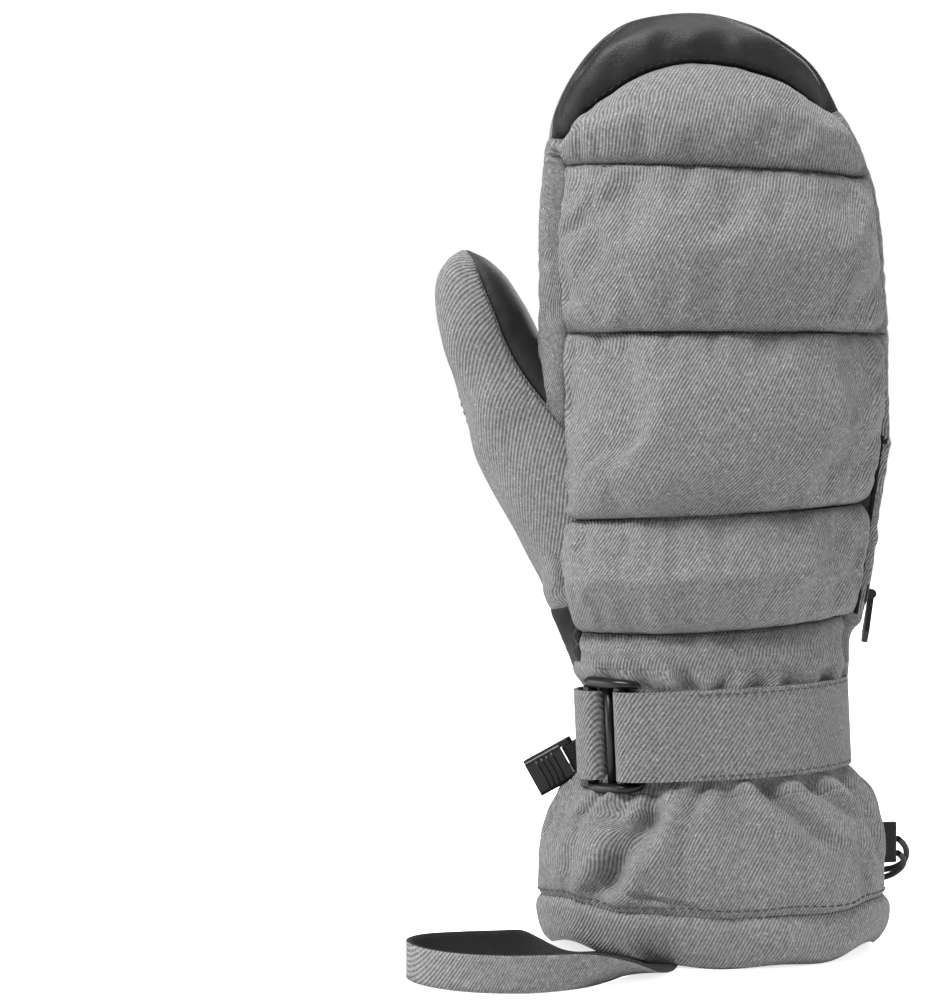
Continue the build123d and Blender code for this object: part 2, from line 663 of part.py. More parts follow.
def make_strap():
    """Strap base, folded tail, hook and loop faces, the tab that holds the ring, and the ring."""
    inner_bar = around(INNER_BAR_ANGLE, BAR_DEPTH)
    outer_bar = around(OUTER_BAR_ANGLE, BAR_DEPTH)
    centre_bar = (inner_bar + outer_bar) / 2
    base_mid = STRAP_THICKNESS / 2
    base = wrist_run(OUTER_BAR_ANGLE + BASE_SETBACK, STRAP_START, base_mid - 0.2)
    strap_layer(base, STRAP_THICKNESS + 0.4, STRAP_WIDTH, "strap_base", trim=True)
    loop_depth = STRAP_THICKNESS + PATCH_THICKNESS / 2 + SEWN
    patch_width = STRAP_WIDTH - 2 * PATCH_MARGIN
    loop = wrist_run(OUTER_BAR_ANGLE + 20, STRAP_START - 4, loop_depth)
    strap_layer(loop, PATCH_THICKNESS, patch_width, "loop_face")
    hook_depth = TAIL_DEPTH - STRAP_THICKNESS / 2 - PATCH_THICKNESS / 2 - SEWN
    hook = wrist_run(318, STRAP_FREE_END - 1, hook_depth)
    strap_layer(hook, PATCH_THICKNESS, patch_width, "hook_face")

    up = normal_angle(OUTER_BAR_ANGLE)
    around_bar = fold(outer_bar, up - 180, up)
    start = OUTER_BAR_ANGLE
    lifted = BAR_DEPTH + FOLD_MID
    ramp = [
        around(start + 7, lifted - 0.3),
        around(start + 14, lifted - 1.5),
        around(start + 22, TAIL_DEPTH + 1.6),
        around(start + 30, TAIL_DEPTH + 0.3),
    ]
    tail = around_bar + ramp + wrist_run(start + 37, STRAP_FREE_END, TAIL_DEPTH)
    strap_layer(tail, STRAP_THICKNESS, STRAP_WIDTH, "strap_tail")

    up = normal_angle(INNER_BAR_ANGLE)
    around_bar = fold(inner_bar, up + 180, up)
    tab_low = STRAP_THICKNESS / 2 + 0.05
    end = INNER_BAR_ANGLE
    under = [around(TAB_END, tab_low), around(end - 14, tab_low), around(end - 6, tab_low + 0.3)]
    over = [
        around(end - 7, lifted - 0.3),
        around(end - 14, lifted - 2.4),
        around(TAB_END, STRAP_THICKNESS * 1.5 + 0.02),
    ]
    strap_layer(under + around_bar + over, STRAP_THICKNESS, STRAP_WIDTH, "ring_tab", trim=True)

    half = STRAP_WIDTH / 2 + RING_CLEARANCE
    reach = (outer_bar - inner_bar).normalized() * RING_OVERHANG
    with BuildPart() as ring:
        with BuildSketch(STRAP_PLANE.offset(-half - 1)):
            with Locations(inner_bar, centre_bar, outer_bar):
                Circle(RING_BAR)
        extrude(amount=2 * half + 2)
        for level in (-half - RING_END, half):
            with BuildSketch(STRAP_PLANE.offset(level)):
                SlotCenterPoint(
                    center=(inner_bar + outer_bar + reach) / 2,
                    point=outer_bar + reach,
                    height=2 * RING_END_RADIUS,
                )
            extrude(amount=RING_END)
        lengthwise = Axis(tuple(STRAP_PLANE.origin), tuple(STRAP_PLANE.z_dir))
        ends = ring.faces().sort_by(lengthwise)
        fillet(ends[0].edges() + ends[-1].edges(), 0.9)
    save(ring.part, "strap_ring")
    return inner_bar, outer_bar


def tube(points, radius, name):
    """A round solid of straight runs joined by arcs, through a run of points."""
    radii = []
    for before, corner, after in zip(points, points[1:], points[2:]):
        into = Vector(*corner) - Vector(*before)
        out = Vector(*after) - Vector(*corner)
        half_turn = radians(into.get_angle(out)) / 2
        radii.append(0.45 * min(into.length, out.length) / tan(half_turn))
    if radii:
        print(name, "bend radii", [round(value, 1) for value in radii])
    with BuildPart() as solid:
        with BuildLine() as path:
            if radii:
                FilletPolyline(*points, radius=radii)
            else:
                Line(*points)
        with BuildSketch(Plane(origin=path.line @ 0, z_dir=path.line % 0)):
            Circle(radius)
        sweep()
    return solid.part


def hem_point(angle, depth, height):
    """A point at an angle round the hem, a depth above (+) or below (-) its widest outside."""
    across, through = HEM_LEVELS[2][1:3]
    flat = around(angle, depth, across, through)
    return Vector(flat.X, flat.Y, height)


EYELET_OUT = (hem_point(EYELET_ANGLE, 1, CORD_Z) - hem_point(EYELET_ANGLE, 0, CORD_Z)).normalized()
EYELET_SIDE = Vector(-EYELET_OUT.Y, EYELET_OUT.X, 0)
EYELET_PLANE = Plane(origin=hem_point(EYELET_ANGLE, 0, CORD_Z), x_dir=EYELET_SIDE, z_dir=EYELET_OUT)
CHANNEL_DEPTH = -3.7
STRAND_OUT = EYELET_OUT.rotate(Axis.Z, STRAND_TURN)
STRAND_SIDE = Vector(-STRAND_OUT.Y, STRAND_OUT.X, 0)
BEND = EYELET_PLANE.origin + EYELET_OUT * STRAND_BEND
LOCK_AXIS = BEND + STRAND_OUT * LOCK_DISTANCE


def hem_run_points():
    """Corners of the drawcord's run inside the hem, from one side of the eyelet to the other."""
    corners = 26
    first = EYELET_ANGLE + 2.2
    last = EYELET_ANGLE + 360 - 2.2
    points = []
    for index in range(corners + 1):
        angle = first + (last - first) * index / corners
        grow = 0 if index in (0, corners) else 0.35
        points.append(hem_point(angle, CHANNEL_DEPTH + grow, CORD_Z))
    return points


def make_hem():
    """The hem, with the drawcord's channel, the eyelet's hole and the rise that the leash passes under."""
    cord = tube(hem_run_points(), CORD / 2, "drawcord_hem_run")
    channel = tube(hem_run_points(), CORD / 2 + CHANNEL_CLEARANCE, "channel")
    with BuildPart() as inside:
        for height, across, through, inner_across, inner_through in HEM_LEVELS:
            with BuildSketch(Plane.XY.offset(height)):
                Ellipse(inner_across, inner_through)
        loft(ruled=True)
    with BuildPart() as hem:
        for height, across, through, inner_across, inner_through in HEM_LEVELS:
            with BuildSketch(Plane.XY.offset(height)):
                Ellipse(across, through)
        loft(ruled=True)
        add(inside.part, mode=Mode.SUBTRACT)
        add(channel, mode=Mode.SUBTRACT)
        with BuildSketch(EYELET_PLANE.offset(-12)):
            Circle(EYELET_BORE + EYELET_WALL)
        extrude(amount=20, mode=Mode.SUBTRACT)
        left, right, front, back = HEM_RISE_BOX
        with Locations(((left + right) / 2, (front + back) / 2, 0)):
            Box(right - left, back - front, 2 * HEM_RISE, mode=Mode.SUBTRACT)
    save(hem.part, "hem")
    save(cord, "drawcord_hem_run")

    with BuildPart() as eyelet:
        with BuildSketch(EYELET_PLANE.offset(-7.5)):
            Circle(EYELET_BORE + EYELET_WALL)
        extrude(amount=7.5 + EYELET_FACE)
        with BuildSketch(EYELET_PLANE.offset(0.35)):
            Circle(EYELET_FLANGE)
        extrude(amount=EYELET_FACE)
        fillet(eyelet.edges().filter_by(GeomType.CIRCLE).sort_by(SortBy.RADIUS)[-2:], 0.35)
        with BuildSketch(EYELET_PLANE.offset(-12)):
            Circle(EYELET_BORE)
        extrude(amount=24, mode=Mode.SUBTRACT)
        add(channel, mode=Mode.SUBTRACT)
    save(eyelet.part, "eyelet")
    return hem.part, channel


def strand_points(side):
    """Points of one strand of the drawcord, from inside the eyelet to the cord end."""
    shift = side * STRAND_PITCH / 2
    start = EYELET_PLANE.origin + EYELET_OUT * (CHANNEL_DEPTH + CORD / 2 + 0.05) + EYELET_SIDE * shift
    middle = (EYELET_SIDE + STRAND_SIDE).normalized()
    corner = BEND + middle * shift
    finish = BEND + STRAND_OUT * strand_reach() + STRAND_SIDE * shift
    return [start, corner, finish]


def strand_reach():
    """Distance from the strands' bend to the cord end."""
    return LOCK_DISTANCE + LOCK_RADIUS + CORD_END_GAP


def make_drawcord():
    """The strands outside the hem, the cord lock with its button and spring, the cord end and the tether."""
    for name, side in (("drawcord_strand_1", 1), ("drawcord_strand_2", -1)):
        save(tube(strand_points(side), CORD / 2, name), name)

    with BuildPart() as end:
        end_start = BEND + STRAND_OUT * strand_reach()
        with BuildSketch(Plane(origin=end_start, x_dir=STRAND_SIDE, z_dir=STRAND_OUT)):
            RectangleRounded(STRAND_PITCH + CORD + 1.8, 2 * CORD_END_RADIUS - 1, 2.6)
        extrude(amount=CORD_END_LENGTH)
        fillet(end.faces().sort_by(Axis(tuple(BEND), tuple(STRAND_OUT)))[-1].edges(), 1.6)
    save(end.part, "cord_end")

    foot = Vector(LOCK_AXIS.X, LOCK_AXIS.Y, 0)
    lock_plane = Plane(origin=foot, x_dir=STRAND_SIDE, z_dir=(0, 0, 1))
    across = Plane(
        origin=LOCK_AXIS - STRAND_OUT * 20,
        x_dir=STRAND_SIDE,
        z_dir=STRAND_OUT,
    )
    hole_width = STRAND_PITCH + CORD + 2 * CORD_FIT
    hole_height = CORD + 2 * CORD_FIT
    with BuildPart() as barrel:
        with BuildSketch(lock_plane):
            Circle(LOCK_RADIUS)
        extrude(amount=LOCK_HEIGHT - 5)
        fillet(barrel.edges().group_by(Axis.Z)[0], 2.5)
        with BuildSketch(lock_plane.offset(LOCK_HEIGHT - 5)):
            Circle(LOCK_RADIUS + 1.4)
        extrude(amount=5)
        fillet(barrel.edges().group_by(Axis.Z)[-1], 0.7)
        with BuildSketch(lock_plane.offset(LOCK_FLOOR)):
            Circle(BUTTON_RADIUS + 0.3)
        extrude(amount=LOCK_HEIGHT, mode=Mode.SUBTRACT)
        with BuildSketch(across):
            SlotOverall(hole_width, hole_height)
        extrude(amount=40, mode=Mode.SUBTRACT)
    save(barrel.part, "lock_barrel")

    spring_top = CORD_Z - CORD / 2 - CORD_FIT - 1.5
    with BuildPart() as button:
        with BuildSketch(lock_plane.offset(spring_top)):
            Circle(BUTTON_RADIUS)
        extrude(amount=LOCK_HEIGHT + BUTTON_TRAVEL + 0.6 - spring_top)
        with BuildSketch(lock_plane.offset(LOCK_HEIGHT + BUTTON_TRAVEL + 0.5)):
            Ellipse(LOCK_RADIUS + 1.8, LOCK_RADIUS - 0.6)
        extrude(amount=BUTTON_HEAD)
        fillet(button.edges().group_by(Axis.Z)[-1], 1.8)
        with BuildSketch(Plane(across.origin + Vector(0, 0, BUTTON_TRAVEL / 2), across.x_dir, across.z_dir)):
            RectangleRounded(hole_width, hole_height + BUTTON_TRAVEL, hole_height / 2 - 0.01)
        extrude(amount=40, mode=Mode.SUBTRACT)
    save(button.part, "lock_button")

    with BuildPart() as spring:
        coil = Helix(
            pitch=(spring_top - LOCK_FLOOR - SPRING_WIRE) / 3,
            height=spring_top - LOCK_FLOOR - SPRING_WIRE,
            radius=BUTTON_RADIUS - 1,
            center=(foot.X, foot.Y, LOCK_FLOOR + SPRING_WIRE / 2),
        )
        with BuildSketch(Plane(origin=coil @ 0, z_dir=coil % 0)):
            Circle(SPRING_WIRE / 2)
        sweep(path=coil)
    save(spring.part, "lock_spring")

    root = around(TETHER_TAB_ANGLE, -0.7, 59.6, 43.6)
    out = (around(TETHER_TAB_ANGLE, 1, 59.6, 43.6) - around(TETHER_TAB_ANGLE, 0, 59.6, 43.6)).normalized()
    low, high = TETHER_TAB_Z
    tab_plane = Plane(origin=(root.X, root.Y, low), x_dir=(out.X, out.Y, 0), z_dir=(0, 0, 1))
    with BuildPart() as tab:
        with BuildSketch(tab_plane):
            with Locations((TETHER_TAB_REACH / 2, 0)):
                SlotOverall(TETHER_TAB_REACH, TETHER_TAB_THICKNESS)
            with Locations((TETHER_TAB_REACH / 4, 0)):
                Rectangle(TETHER_TAB_REACH / 2, TETHER_TAB_THICKNESS)
        extrude(amount=high - low)
        add(CUFF_OUTSIDE, mode=Mode.SUBTRACT)
    save(tab.part, "tether_tab")

    tip = Vector(root.X, root.Y, 0) + Vector(out.X, out.Y, 0) * (TETHER_TAB_REACH + 0.6)
    hitch = LOCK_AXIS - STRAND_OUT * (LOCK_RADIUS + 1.1) - STRAND_SIDE * 3.4
    for name, lift, sway in (("tether_leg_1", 5.0, 3.0), ("tether_leg_2", 0.0, -1.0)):
        points = [
            Vector(tip.X, tip.Y, low + 3 + lift),
            Vector(tip.X + 5, tip.Y + 9, low - 1 + lift),
            Vector(tip.X + 3 + sway, tip.Y + 23, low - 9 + lift * 0.8),
            Vector(tip.X - 5 + sway, tip.Y + 34, low - 12.5 + lift * 0.6),
            Vector(hitch.X + 1, hitch.Y - 0.5, CORD_Z + 3.2 + lift * 0.55),
        ]
        save(tube(points, TETHER / 2, name), name)


def smooth(stations, steps):
    """Points of an even curve through the stations."""
    padded = [stations[0], *stations, stations[-1]]
    points = []
    for index in range(len(stations) - 1):
        before, here, after, later = padded[index : index + 4]
        for step in range(steps):
            t = step / steps
            points.append(
                tuple(
                    0.5 * (2 * p1 + (p2 - p0) * t + (2 * p0 - 5 * p1 + 4 * p2 - p3) * t**2
                           + (3 * p1 - p0 - 3 * p2 + p3) * t**3)
                    for p0, p1, p2, p3 in zip(before, here, after, later)
                )
            )
    points.append(stations[-1])
    return points


def make_leash(hem, channel):
    """The leash: one band whose ends lie flat under the hem, and the webbing that holds it in the cuff."""
    points = smooth(LEASH_STATIONS, 3)
    sections = []
    for index, (x, y, roll, lift) in enumerate(points):
        before = points[max(index - 1, 0)]
        after = points[min(index + 1, len(points) - 1)]
        along = Vector(after[0] - before[0], after[1] - before[1], 0).normalized()
        lateral = Vector(-along.Y, along.X, 0)
        turn = radians(min(max(roll, 0), 90))
        upward = Vector(0, 0, cos(turn)) + lateral * sin(turn)
        lowest = LEASH_WIDTH / 2 * cos(turn) + LEASH_THICKNESS / 2 * sin(turn)
        height = lowest + LEASH_RISE + LEASH_LIFT * lift
        with BuildSketch(Plane(origin=(x, y, height), x_dir=upward, z_dir=along)) as section:
            Rectangle(LEASH_WIDTH, LEASH_THICKNESS)
        sections.append(section.sketch)
    with BuildPart() as band_solid:
        for section in sections:
            add(section)
        loft(ruled=True)
    save(band_solid.part, "leash_band")

    foot = LEASH_RISE + LEASH_LIFT + LEASH_THICKNESS
    with BuildPart() as root:
        with BuildSketch(Plane.YZ.offset(LEASH_ROOT_X - LEASH_WIDTH / 2)):
            with BuildLine():
                Polyline(
                    (-40, LEASH_ROOT_TOP),
                    (-39, 18),
                    (-35.7, 14.5),
                    (-35.7, 9),
                    (-32, foot + 1.5),
                    (-32, foot),
                    (-27, foot),
                    (-27, foot + 2),
                    (-31.5, 10),
                    (-33.5, LEASH_ROOT_TOP),
                    close=True,
                )
            make_face()
        extrude(amount=LEASH_WIDTH)
        add(hem, mode=Mode.SUBTRACT)
        add(channel, mode=Mode.SUBTRACT)
    save(root.part, "leash_root")


def make_clip():
    """The clip at the thumb side of the wrist and the webbing that holds it."""
    drop = radians(CLIP_DROP)
    along = Vector(-cos(drop), 0, -sin(drop))
    wide = Vector(sin(drop), 0, -cos(drop))
    bar = Vector(-WRIST_HALF_ACROSS - CLIP_REACH, CLIP_Y, CLIP_Z)
    side = Plane(origin=bar - wide * (CLIP_WEBBING / 2), x_dir=along, z_dir=wide)
    fold_in = CLIP_BAR + MOVING_CLEARANCE
    fold_out = fold_in + CLIP_WEBBING_THICKNESS
    with BuildPart() as webbing:
        with BuildSketch(side):
            Circle(fold_out)
            with Locations((-6, 0)):
                Rectangle(12, 2 * fold_out)
            Circle(fold_in, mode=Mode.SUBTRACT)
        extrude(amount=CLIP_WEBBING)
        add(CUFF_OUTSIDE, mode=Mode.SUBTRACT)
    save(webbing.part, "clip_webbing")

    front = Plane(origin=bar, x_dir=wide, z_dir=along)
    start = fold_out + MOVING_CLEARANCE
    with BuildPart() as clip:
        with BuildSketch(front.offset(start)):
            RectangleRounded(CLIP_WIDTH, CLIP_DEPTH, 1.8)
        extrude(amount=CLIP_LENGTH - start)
        with BuildSketch(Plane(origin=bar, x_dir=along, z_dir=wide)):
            with Locations((start / 2, 0)):
                Rectangle(start, 2 * CLIP_BAR)
            Circle(CLIP_BAR)
        extrude(amount=CLIP_WIDTH / 2, both=True)
        with BuildSketch(Plane(origin=bar, x_dir=along, z_dir=wide)):
            with Locations((start / 2 - 2.5, 0)):
                Rectangle(start + 5, 20)
            Circle(CLIP_BAR, mode=Mode.SUBTRACT)
        extrude(amount=CLIP_WEBBING / 2 + MOVING_CLEARANCE, both=True, mode=Mode.SUBTRACT)
        with BuildSketch(front.offset(start + 2)):
            RectangleRounded(CLIP_WIDTH - 2 * CLIP_WALL, CLIP_DEPTH - 2 * CLIP_WALL, 0.8)
        extrude(amount=CLIP_LENGTH, mode=Mode.SUBTRACT)
        with BuildSketch(Plane(origin=bar + along * (CLIP_LENGTH - 4), x_dir=along, z_dir=wide)):
            with Locations((0, 0)):
                SlotOverall(5, 2.4)
        extrude(amount=CLIP_WIDTH, both=True, mode=Mode.SUBTRACT)
    save(clip.part, "clip_body")


def make_label():
    """The blank care label, sewn in below the wrist on the thumb side."""
    low, high = LABEL_Z
    with BuildPart() as label:
        add(sleeve(-LABEL_THICKNESS, 0))
        with Locations((-BIG / 2, LABEL_Y, (low + high) / 2)):
            Box(BIG, LABEL_WIDTH, high - low, mode=Mode.INTERSECT)
    save(label.part, "care_label")


make_back()
make_palm()
make_gusset()
make_zip()
make_thumb()
make_insulation()
make_linings()
make_cuff()
make_strap()
make_drawcord()
make_clip()
make_leash(*make_hem())
make_label()
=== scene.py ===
"""Looks of the ski mitten: cloth, leather, stitching and the studio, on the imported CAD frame. Metres throughout.

+Z points to the fingertips, -Y to the back of the hand and -X to the thumb.
"""

import math

import bmesh
import bpy
import numpy as np
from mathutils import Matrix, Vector


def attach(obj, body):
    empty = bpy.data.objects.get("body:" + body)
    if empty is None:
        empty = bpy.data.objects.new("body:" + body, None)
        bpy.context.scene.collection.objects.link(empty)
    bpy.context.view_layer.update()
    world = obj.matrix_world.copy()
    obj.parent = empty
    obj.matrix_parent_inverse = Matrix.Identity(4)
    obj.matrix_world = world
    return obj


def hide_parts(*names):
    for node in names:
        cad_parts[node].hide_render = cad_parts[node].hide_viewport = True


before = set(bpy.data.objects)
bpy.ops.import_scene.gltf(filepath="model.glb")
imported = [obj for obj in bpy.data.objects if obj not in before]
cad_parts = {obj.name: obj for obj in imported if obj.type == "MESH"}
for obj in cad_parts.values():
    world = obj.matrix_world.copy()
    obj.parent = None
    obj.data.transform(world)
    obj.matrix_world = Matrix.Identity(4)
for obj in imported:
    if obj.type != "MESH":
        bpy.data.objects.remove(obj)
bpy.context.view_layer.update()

MM = 0.001
BODY = "mitten"
rng = np.random.default_rng(7)

# Outline of the hand: height, thumb-side edge, little-finger-side edge, half depth (mm)
HAND_OUTLINE = [
    (94, -47.5, 45.5, 29.5),
    (99, -49.0, 46.8, 30.0),
    (106, -51.5, 47.0, 31.0),
    (114, -54.7, 51.0, 32.0),
    (124, -58.0, 53.7, 32.8),
    (150, -59.5, 57.5, 33.0),
    (175, -59.8, 60.8, 33.0),
    (200, -59.8, 61.0, 33.0),
    (226, -59.5, 59.8, 32.8),
    (247, -59.5, 58.5, 32.0),
    (262, -59.0, 56.1, 30.6),
    (272, -58.1, 52.9, 29.2),
    (282, -56.4, 48.3, 27.2),
    (293, -53.4, 41.8, 24.0),
    (303, -48.3, 36.0, 19.8),
    (310, -43.0, 28.6, 16.4),
    (316, -36.5, 19.5, 12.6),
    (320.5, -28.0, 8.5, 8.4),
    (322.6, -16.0, -0.5, 4.4),
    (323.2, -8.4, -7.6, 0.3),
]
# Outline of the thumb: height, outer edge, inner edge, middle in Y, half depth (mm)
THUMB_OUTLINE = [
    (112, -50.0, -44.0, 14.0, 8.0),
    (116, -54.0, -36.0, 14.0, 14.0),
    (121, -57.0, -26.0, 14.0, 19.5),
    (128, -60.5, -15.0, 14.0, 23.5),
    (138, -65.0, -8.0, 14.0, 26.0),
    (150, -71.2, -6.0, 14.0, 27.0),
    (160, -76.8, -11.0, 14.0, 26.5),
    (170, -81.4, -19.5, 13.8, 25.0),
    (180, -85.2, -30.5, 13.5, 22.5),
    (190, -88.3, -41.5, 13.0, 20.0),
    (200, -91.5, -51.0, 12.4, 17.8),
    (206, -93.0, -55.6, 12.0, 16.8),
    (216, -94.8, -61.6, 11.5, 15.2),
    (226, -95.0, -68.0, 11.0, 13.0),
    (233, -94.0, -73.2, 11.0, 10.4),
    (238.5, -91.6, -78.6, 10.8, 7.0),
    (241.4, -87.6, -84.6, 10.8, 2.2),
]
# where the thumb's leather ends on the palm side, by height (degrees round the thumb)
LEATHER_LEVELS = (146, 158, 174, 192)
LEATHER_ENDS = (14.0, 32.0, 54.0, 72.0)
# Outline of the cuff: height, thumb-side edge, little-finger-side edge, half depth (mm)
CUFF_OUTLINE = [
    (0.0, -56.6, 55.6, 41.0),
    (2.5, -59.0, 58.2, 43.0),
    (7.0, -60.6, 59.8, 44.5),
    (13.0, -60.8, 60.0, 44.7),
    (17.5, -59.6, 58.6, 43.4),
    (22.0, -60.4, 59.6, 44.2),
    (30.0, -60.0, 60.0, 43.9),
    (38.0, -58.8, 59.4, 43.0),
    (46.0, -56.6, 57.4, 41.2),
    (53.0, -52.2, 54.6, 38.4),
    (58.0, -47.4, 50.6, 34.8),
    (62.0, -44.6, 45.8, 32.0),
    (70.0, -43.2, 43.4, 30.8),
    (84.0, -43.2, 43.4, 30.8),
    (90.0, -44.6, 44.4, 30.9),
    (95.0, -48.0, 46.0, 30.4),
    (99.0, -48.6, 46.4, 29.6),
]
# Height of each cross seam at the thumb side and at the other side (mm)
SEAM_LOW = (107.0, 113.0)
SEAM_3 = (147.5, 153.0)
SEAM_2 = (212.0, 212.0)
SEAM_1 = (270.6, 267.2)
LEATHER_SEAM = (246.0, 234.0)
# the fingertip cap's lower edge is a bow: height at its ends and at its top, and where its top and ends are in X
CAP_SIDES = (283.5, 289.5)
CAP_MIDDLE = 306.5
CAP_MIDDLE_X, CAP_THUMB_X, CAP_OTHER_X = -7.0, 53.0, 43.5
HAND_LOW, CUFF_NARROW = 97.0, 62.0  # the lower end of the hand's cloth, and the top of the flared cuff
PALM_Y = 10.0
# distance of the gusset's seams from the middle, by height: thumb side and other side of the back, and palm
SEAM_LEVELS = (HAND_LOW, 130, 175, 260, 284, 300)
SEAM_THUMB_Y = (9.0, 10.0, 12.0, 10.0, 2.5, 0.6)
SEAM_OTHER_Y = (5.5, 5.5, 4.5, 2.0, 1.0, 0.4)
SEAM_PALM_Y = (10.0, 10.0, 11.0, 11.0, 10.0, 9.0)
SEAM_PALM_THUMB_Y = (12.0, 16.0, 19.0, 18.5, 15.0, 11.0)

# the wrist strap: its lean and middle, half widths of its oval and the layers out to its face, then its two rows of
# thread: the part of the oval they run along (degrees) and their distance from the strap's middle line
STRAP_TILT = math.radians(2.5)
STRAP_UP = np.array([-math.sin(STRAP_TILT), 0, math.cos(STRAP_TILT)])
STRAP_SIDE = np.array([math.cos(STRAP_TILT), 0, math.sin(STRAP_TILT)])
STRAP_MIDDLE_Z = 77 * MM
STRAP_ACROSS, STRAP_THROUGH = 43.1, 30.8
STRAP_FACE = 2.1 + 1.0 + 0.4 + 0.72
STRAP_ARC = (236, 352)
STRAP_STITCH_Z = 13.6
WRIST_OVAL = (43, 31)  # half widths of the wrist, for the weave of what is wrapped round it


def along(stations, value, column):
    """A column of a table of stations at a height, on a smooth curve that doesn't overshoot."""
    table = np.asarray(stations, float)
    x, y = table[:, 0], table[:, column]
    step = np.diff(x)
    slope = np.diff(y) / step
    tangent = np.zeros(len(x))
    same = slope[:-1] * slope[1:] > 0
    both = slope[:-1] + slope[1:]
    tangent[1:-1] = np.where(same, 2 * slope[:-1] * slope[1:] / np.where(same, both, 1), 0)
    tangent[0], tangent[-1] = slope[0], slope[-1]
    value = np.clip(value, x[0], x[-1])
    index = np.clip(np.searchsorted(x, value) - 1, 0, len(x) - 2)
    h = step[index]
    t = (value - x[index]) / h
    return (
        (2 * t**3 - 3 * t**2 + 1) * y[index]
        + (t**3 - 2 * t**2 + t) * h * tangent[index]
        + (-2 * t**3 + 3 * t**2) * y[index + 1]
        + (t**3 - t**2) * h * tangent[index + 1]
    )


def unit(value):
    """A value kept from 0 to 1."""
    return np.clip(value, 0, 1)


def bell(value):
    """1 at 0, and fading smoothly to nothing by 2 or so."""
    return np.exp(-(value**2))


class Ripple:
    """Smooth repeatable unevenness: a sum of plane waves of about one wavelength, from -1 to 1."""

    WAVES = 9

    def __init__(self, wavelength, stretch=(1, 1, 1)):
        self.k = rng.normal(size=(self.WAVES, 3))
        self.k /= np.linalg.norm(self.k, axis=1)[:, None]
        self.k *= 2 * np.pi / (wavelength * rng.uniform(0.7, 1.5, (self.WAVES, 1)))
        self.k /= np.asarray(stretch)
        self.phase = rng.uniform(0, 2 * np.pi, self.WAVES)

    def __call__(self, points):
        return np.sin(points @ self.k.T + self.phase).sum(axis=-1) / math.sqrt(len(self.phase)) / 1.4


# --- materials ---


class Nodes:
    """A material's node tree, with short calls for its nodes."""

    def __init__(self, name, roughness=0.8, sheen=0.0, specular=0.3, metallic=0.0):
        self.material = bpy.data.materials.new(name)
        self.material.use_nodes = True
        self.tree = self.material.node_tree
        self.shader = self.tree.nodes["Principled BSDF"]
        self.shader.inputs["Roughness"].default_value = roughness
        self.shader.inputs["Sheen Weight"].default_value = sheen
        self.shader.inputs["Specular IOR Level"].default_value = specular
        self.shader.inputs["Metallic"].default_value = metallic

    def add(self, kind, **values):
        node = self.tree.nodes.new(kind)
        for key, value in values.items():
            if hasattr(node, key):
                setattr(node, key, value)
            else:
                node.inputs[key.replace("_", " ")].default_value = value
        return node

    def link(self, source, target):
        self.tree.links.new(source, target)

    def place(self):
        return self.add("ShaderNodeTexCoord").outputs["Object"]

    def math(self, operation, one, other=None, third=None):
        node = self.add("ShaderNodeMath", operation=operation)
        for index, value in enumerate((one, other, third)):
            if value is None:
                continue
            if isinstance(value, (int, float)):
                node.inputs[index].default_value = value
            else:
                self.link(value, node.inputs[index])
        return node.outputs[0]

    def dot(self, vector, direction):
        node = self.add("ShaderNodeVectorMath", operation="DOT_PRODUCT")
        self.link(vector, node.inputs[0])
        node.inputs[1].default_value = direction
        return node.outputs["Value"]

    def noise(self, scale, detail=2.0):
        node = self.add("ShaderNodeTexNoise", Scale=scale, Detail=detail)
        self.link(self.place(), node.inputs["Vector"])
        return node.outputs["Fac"]

    def ramp(self, value, low, high, dark, light):
        node = self.add("ShaderNodeMapRange")
        node.inputs["From Min"].default_value = low
        node.inputs["From Max"].default_value = high
        self.link(value, node.inputs["Value"])
        mix = self.add("ShaderNodeMix", data_type="RGBA")
        mix.inputs[6].default_value = (*dark, 1)
        mix.inputs[7].default_value = (*light, 1)
        self.link(node.outputs["Result"], mix.inputs[0])
        return mix.outputs[2]

    def colour(self, value):
        if isinstance(value, tuple):
            self.shader.inputs["Base Color"].default_value = (*value, 1)
        else:
            self.link(value, self.shader.inputs["Base Color"])

    def bump(self, height, strength, distance):
        node = self.add("ShaderNodeBump", Strength=strength, Distance=distance)
        self.link(height, node.inputs["Height"])
        self.link(node.outputs[0], self.shader.inputs["Normal"])


TWILL_RIB, TWILL_RISE, TWILL_LEAN = 0.88, 0.47, 0.3  # direction of the ribs, and their lean on a band that lies flat
THREAD_PITCH = 0.62  # pitch of the single threads, as a share of the ribs'


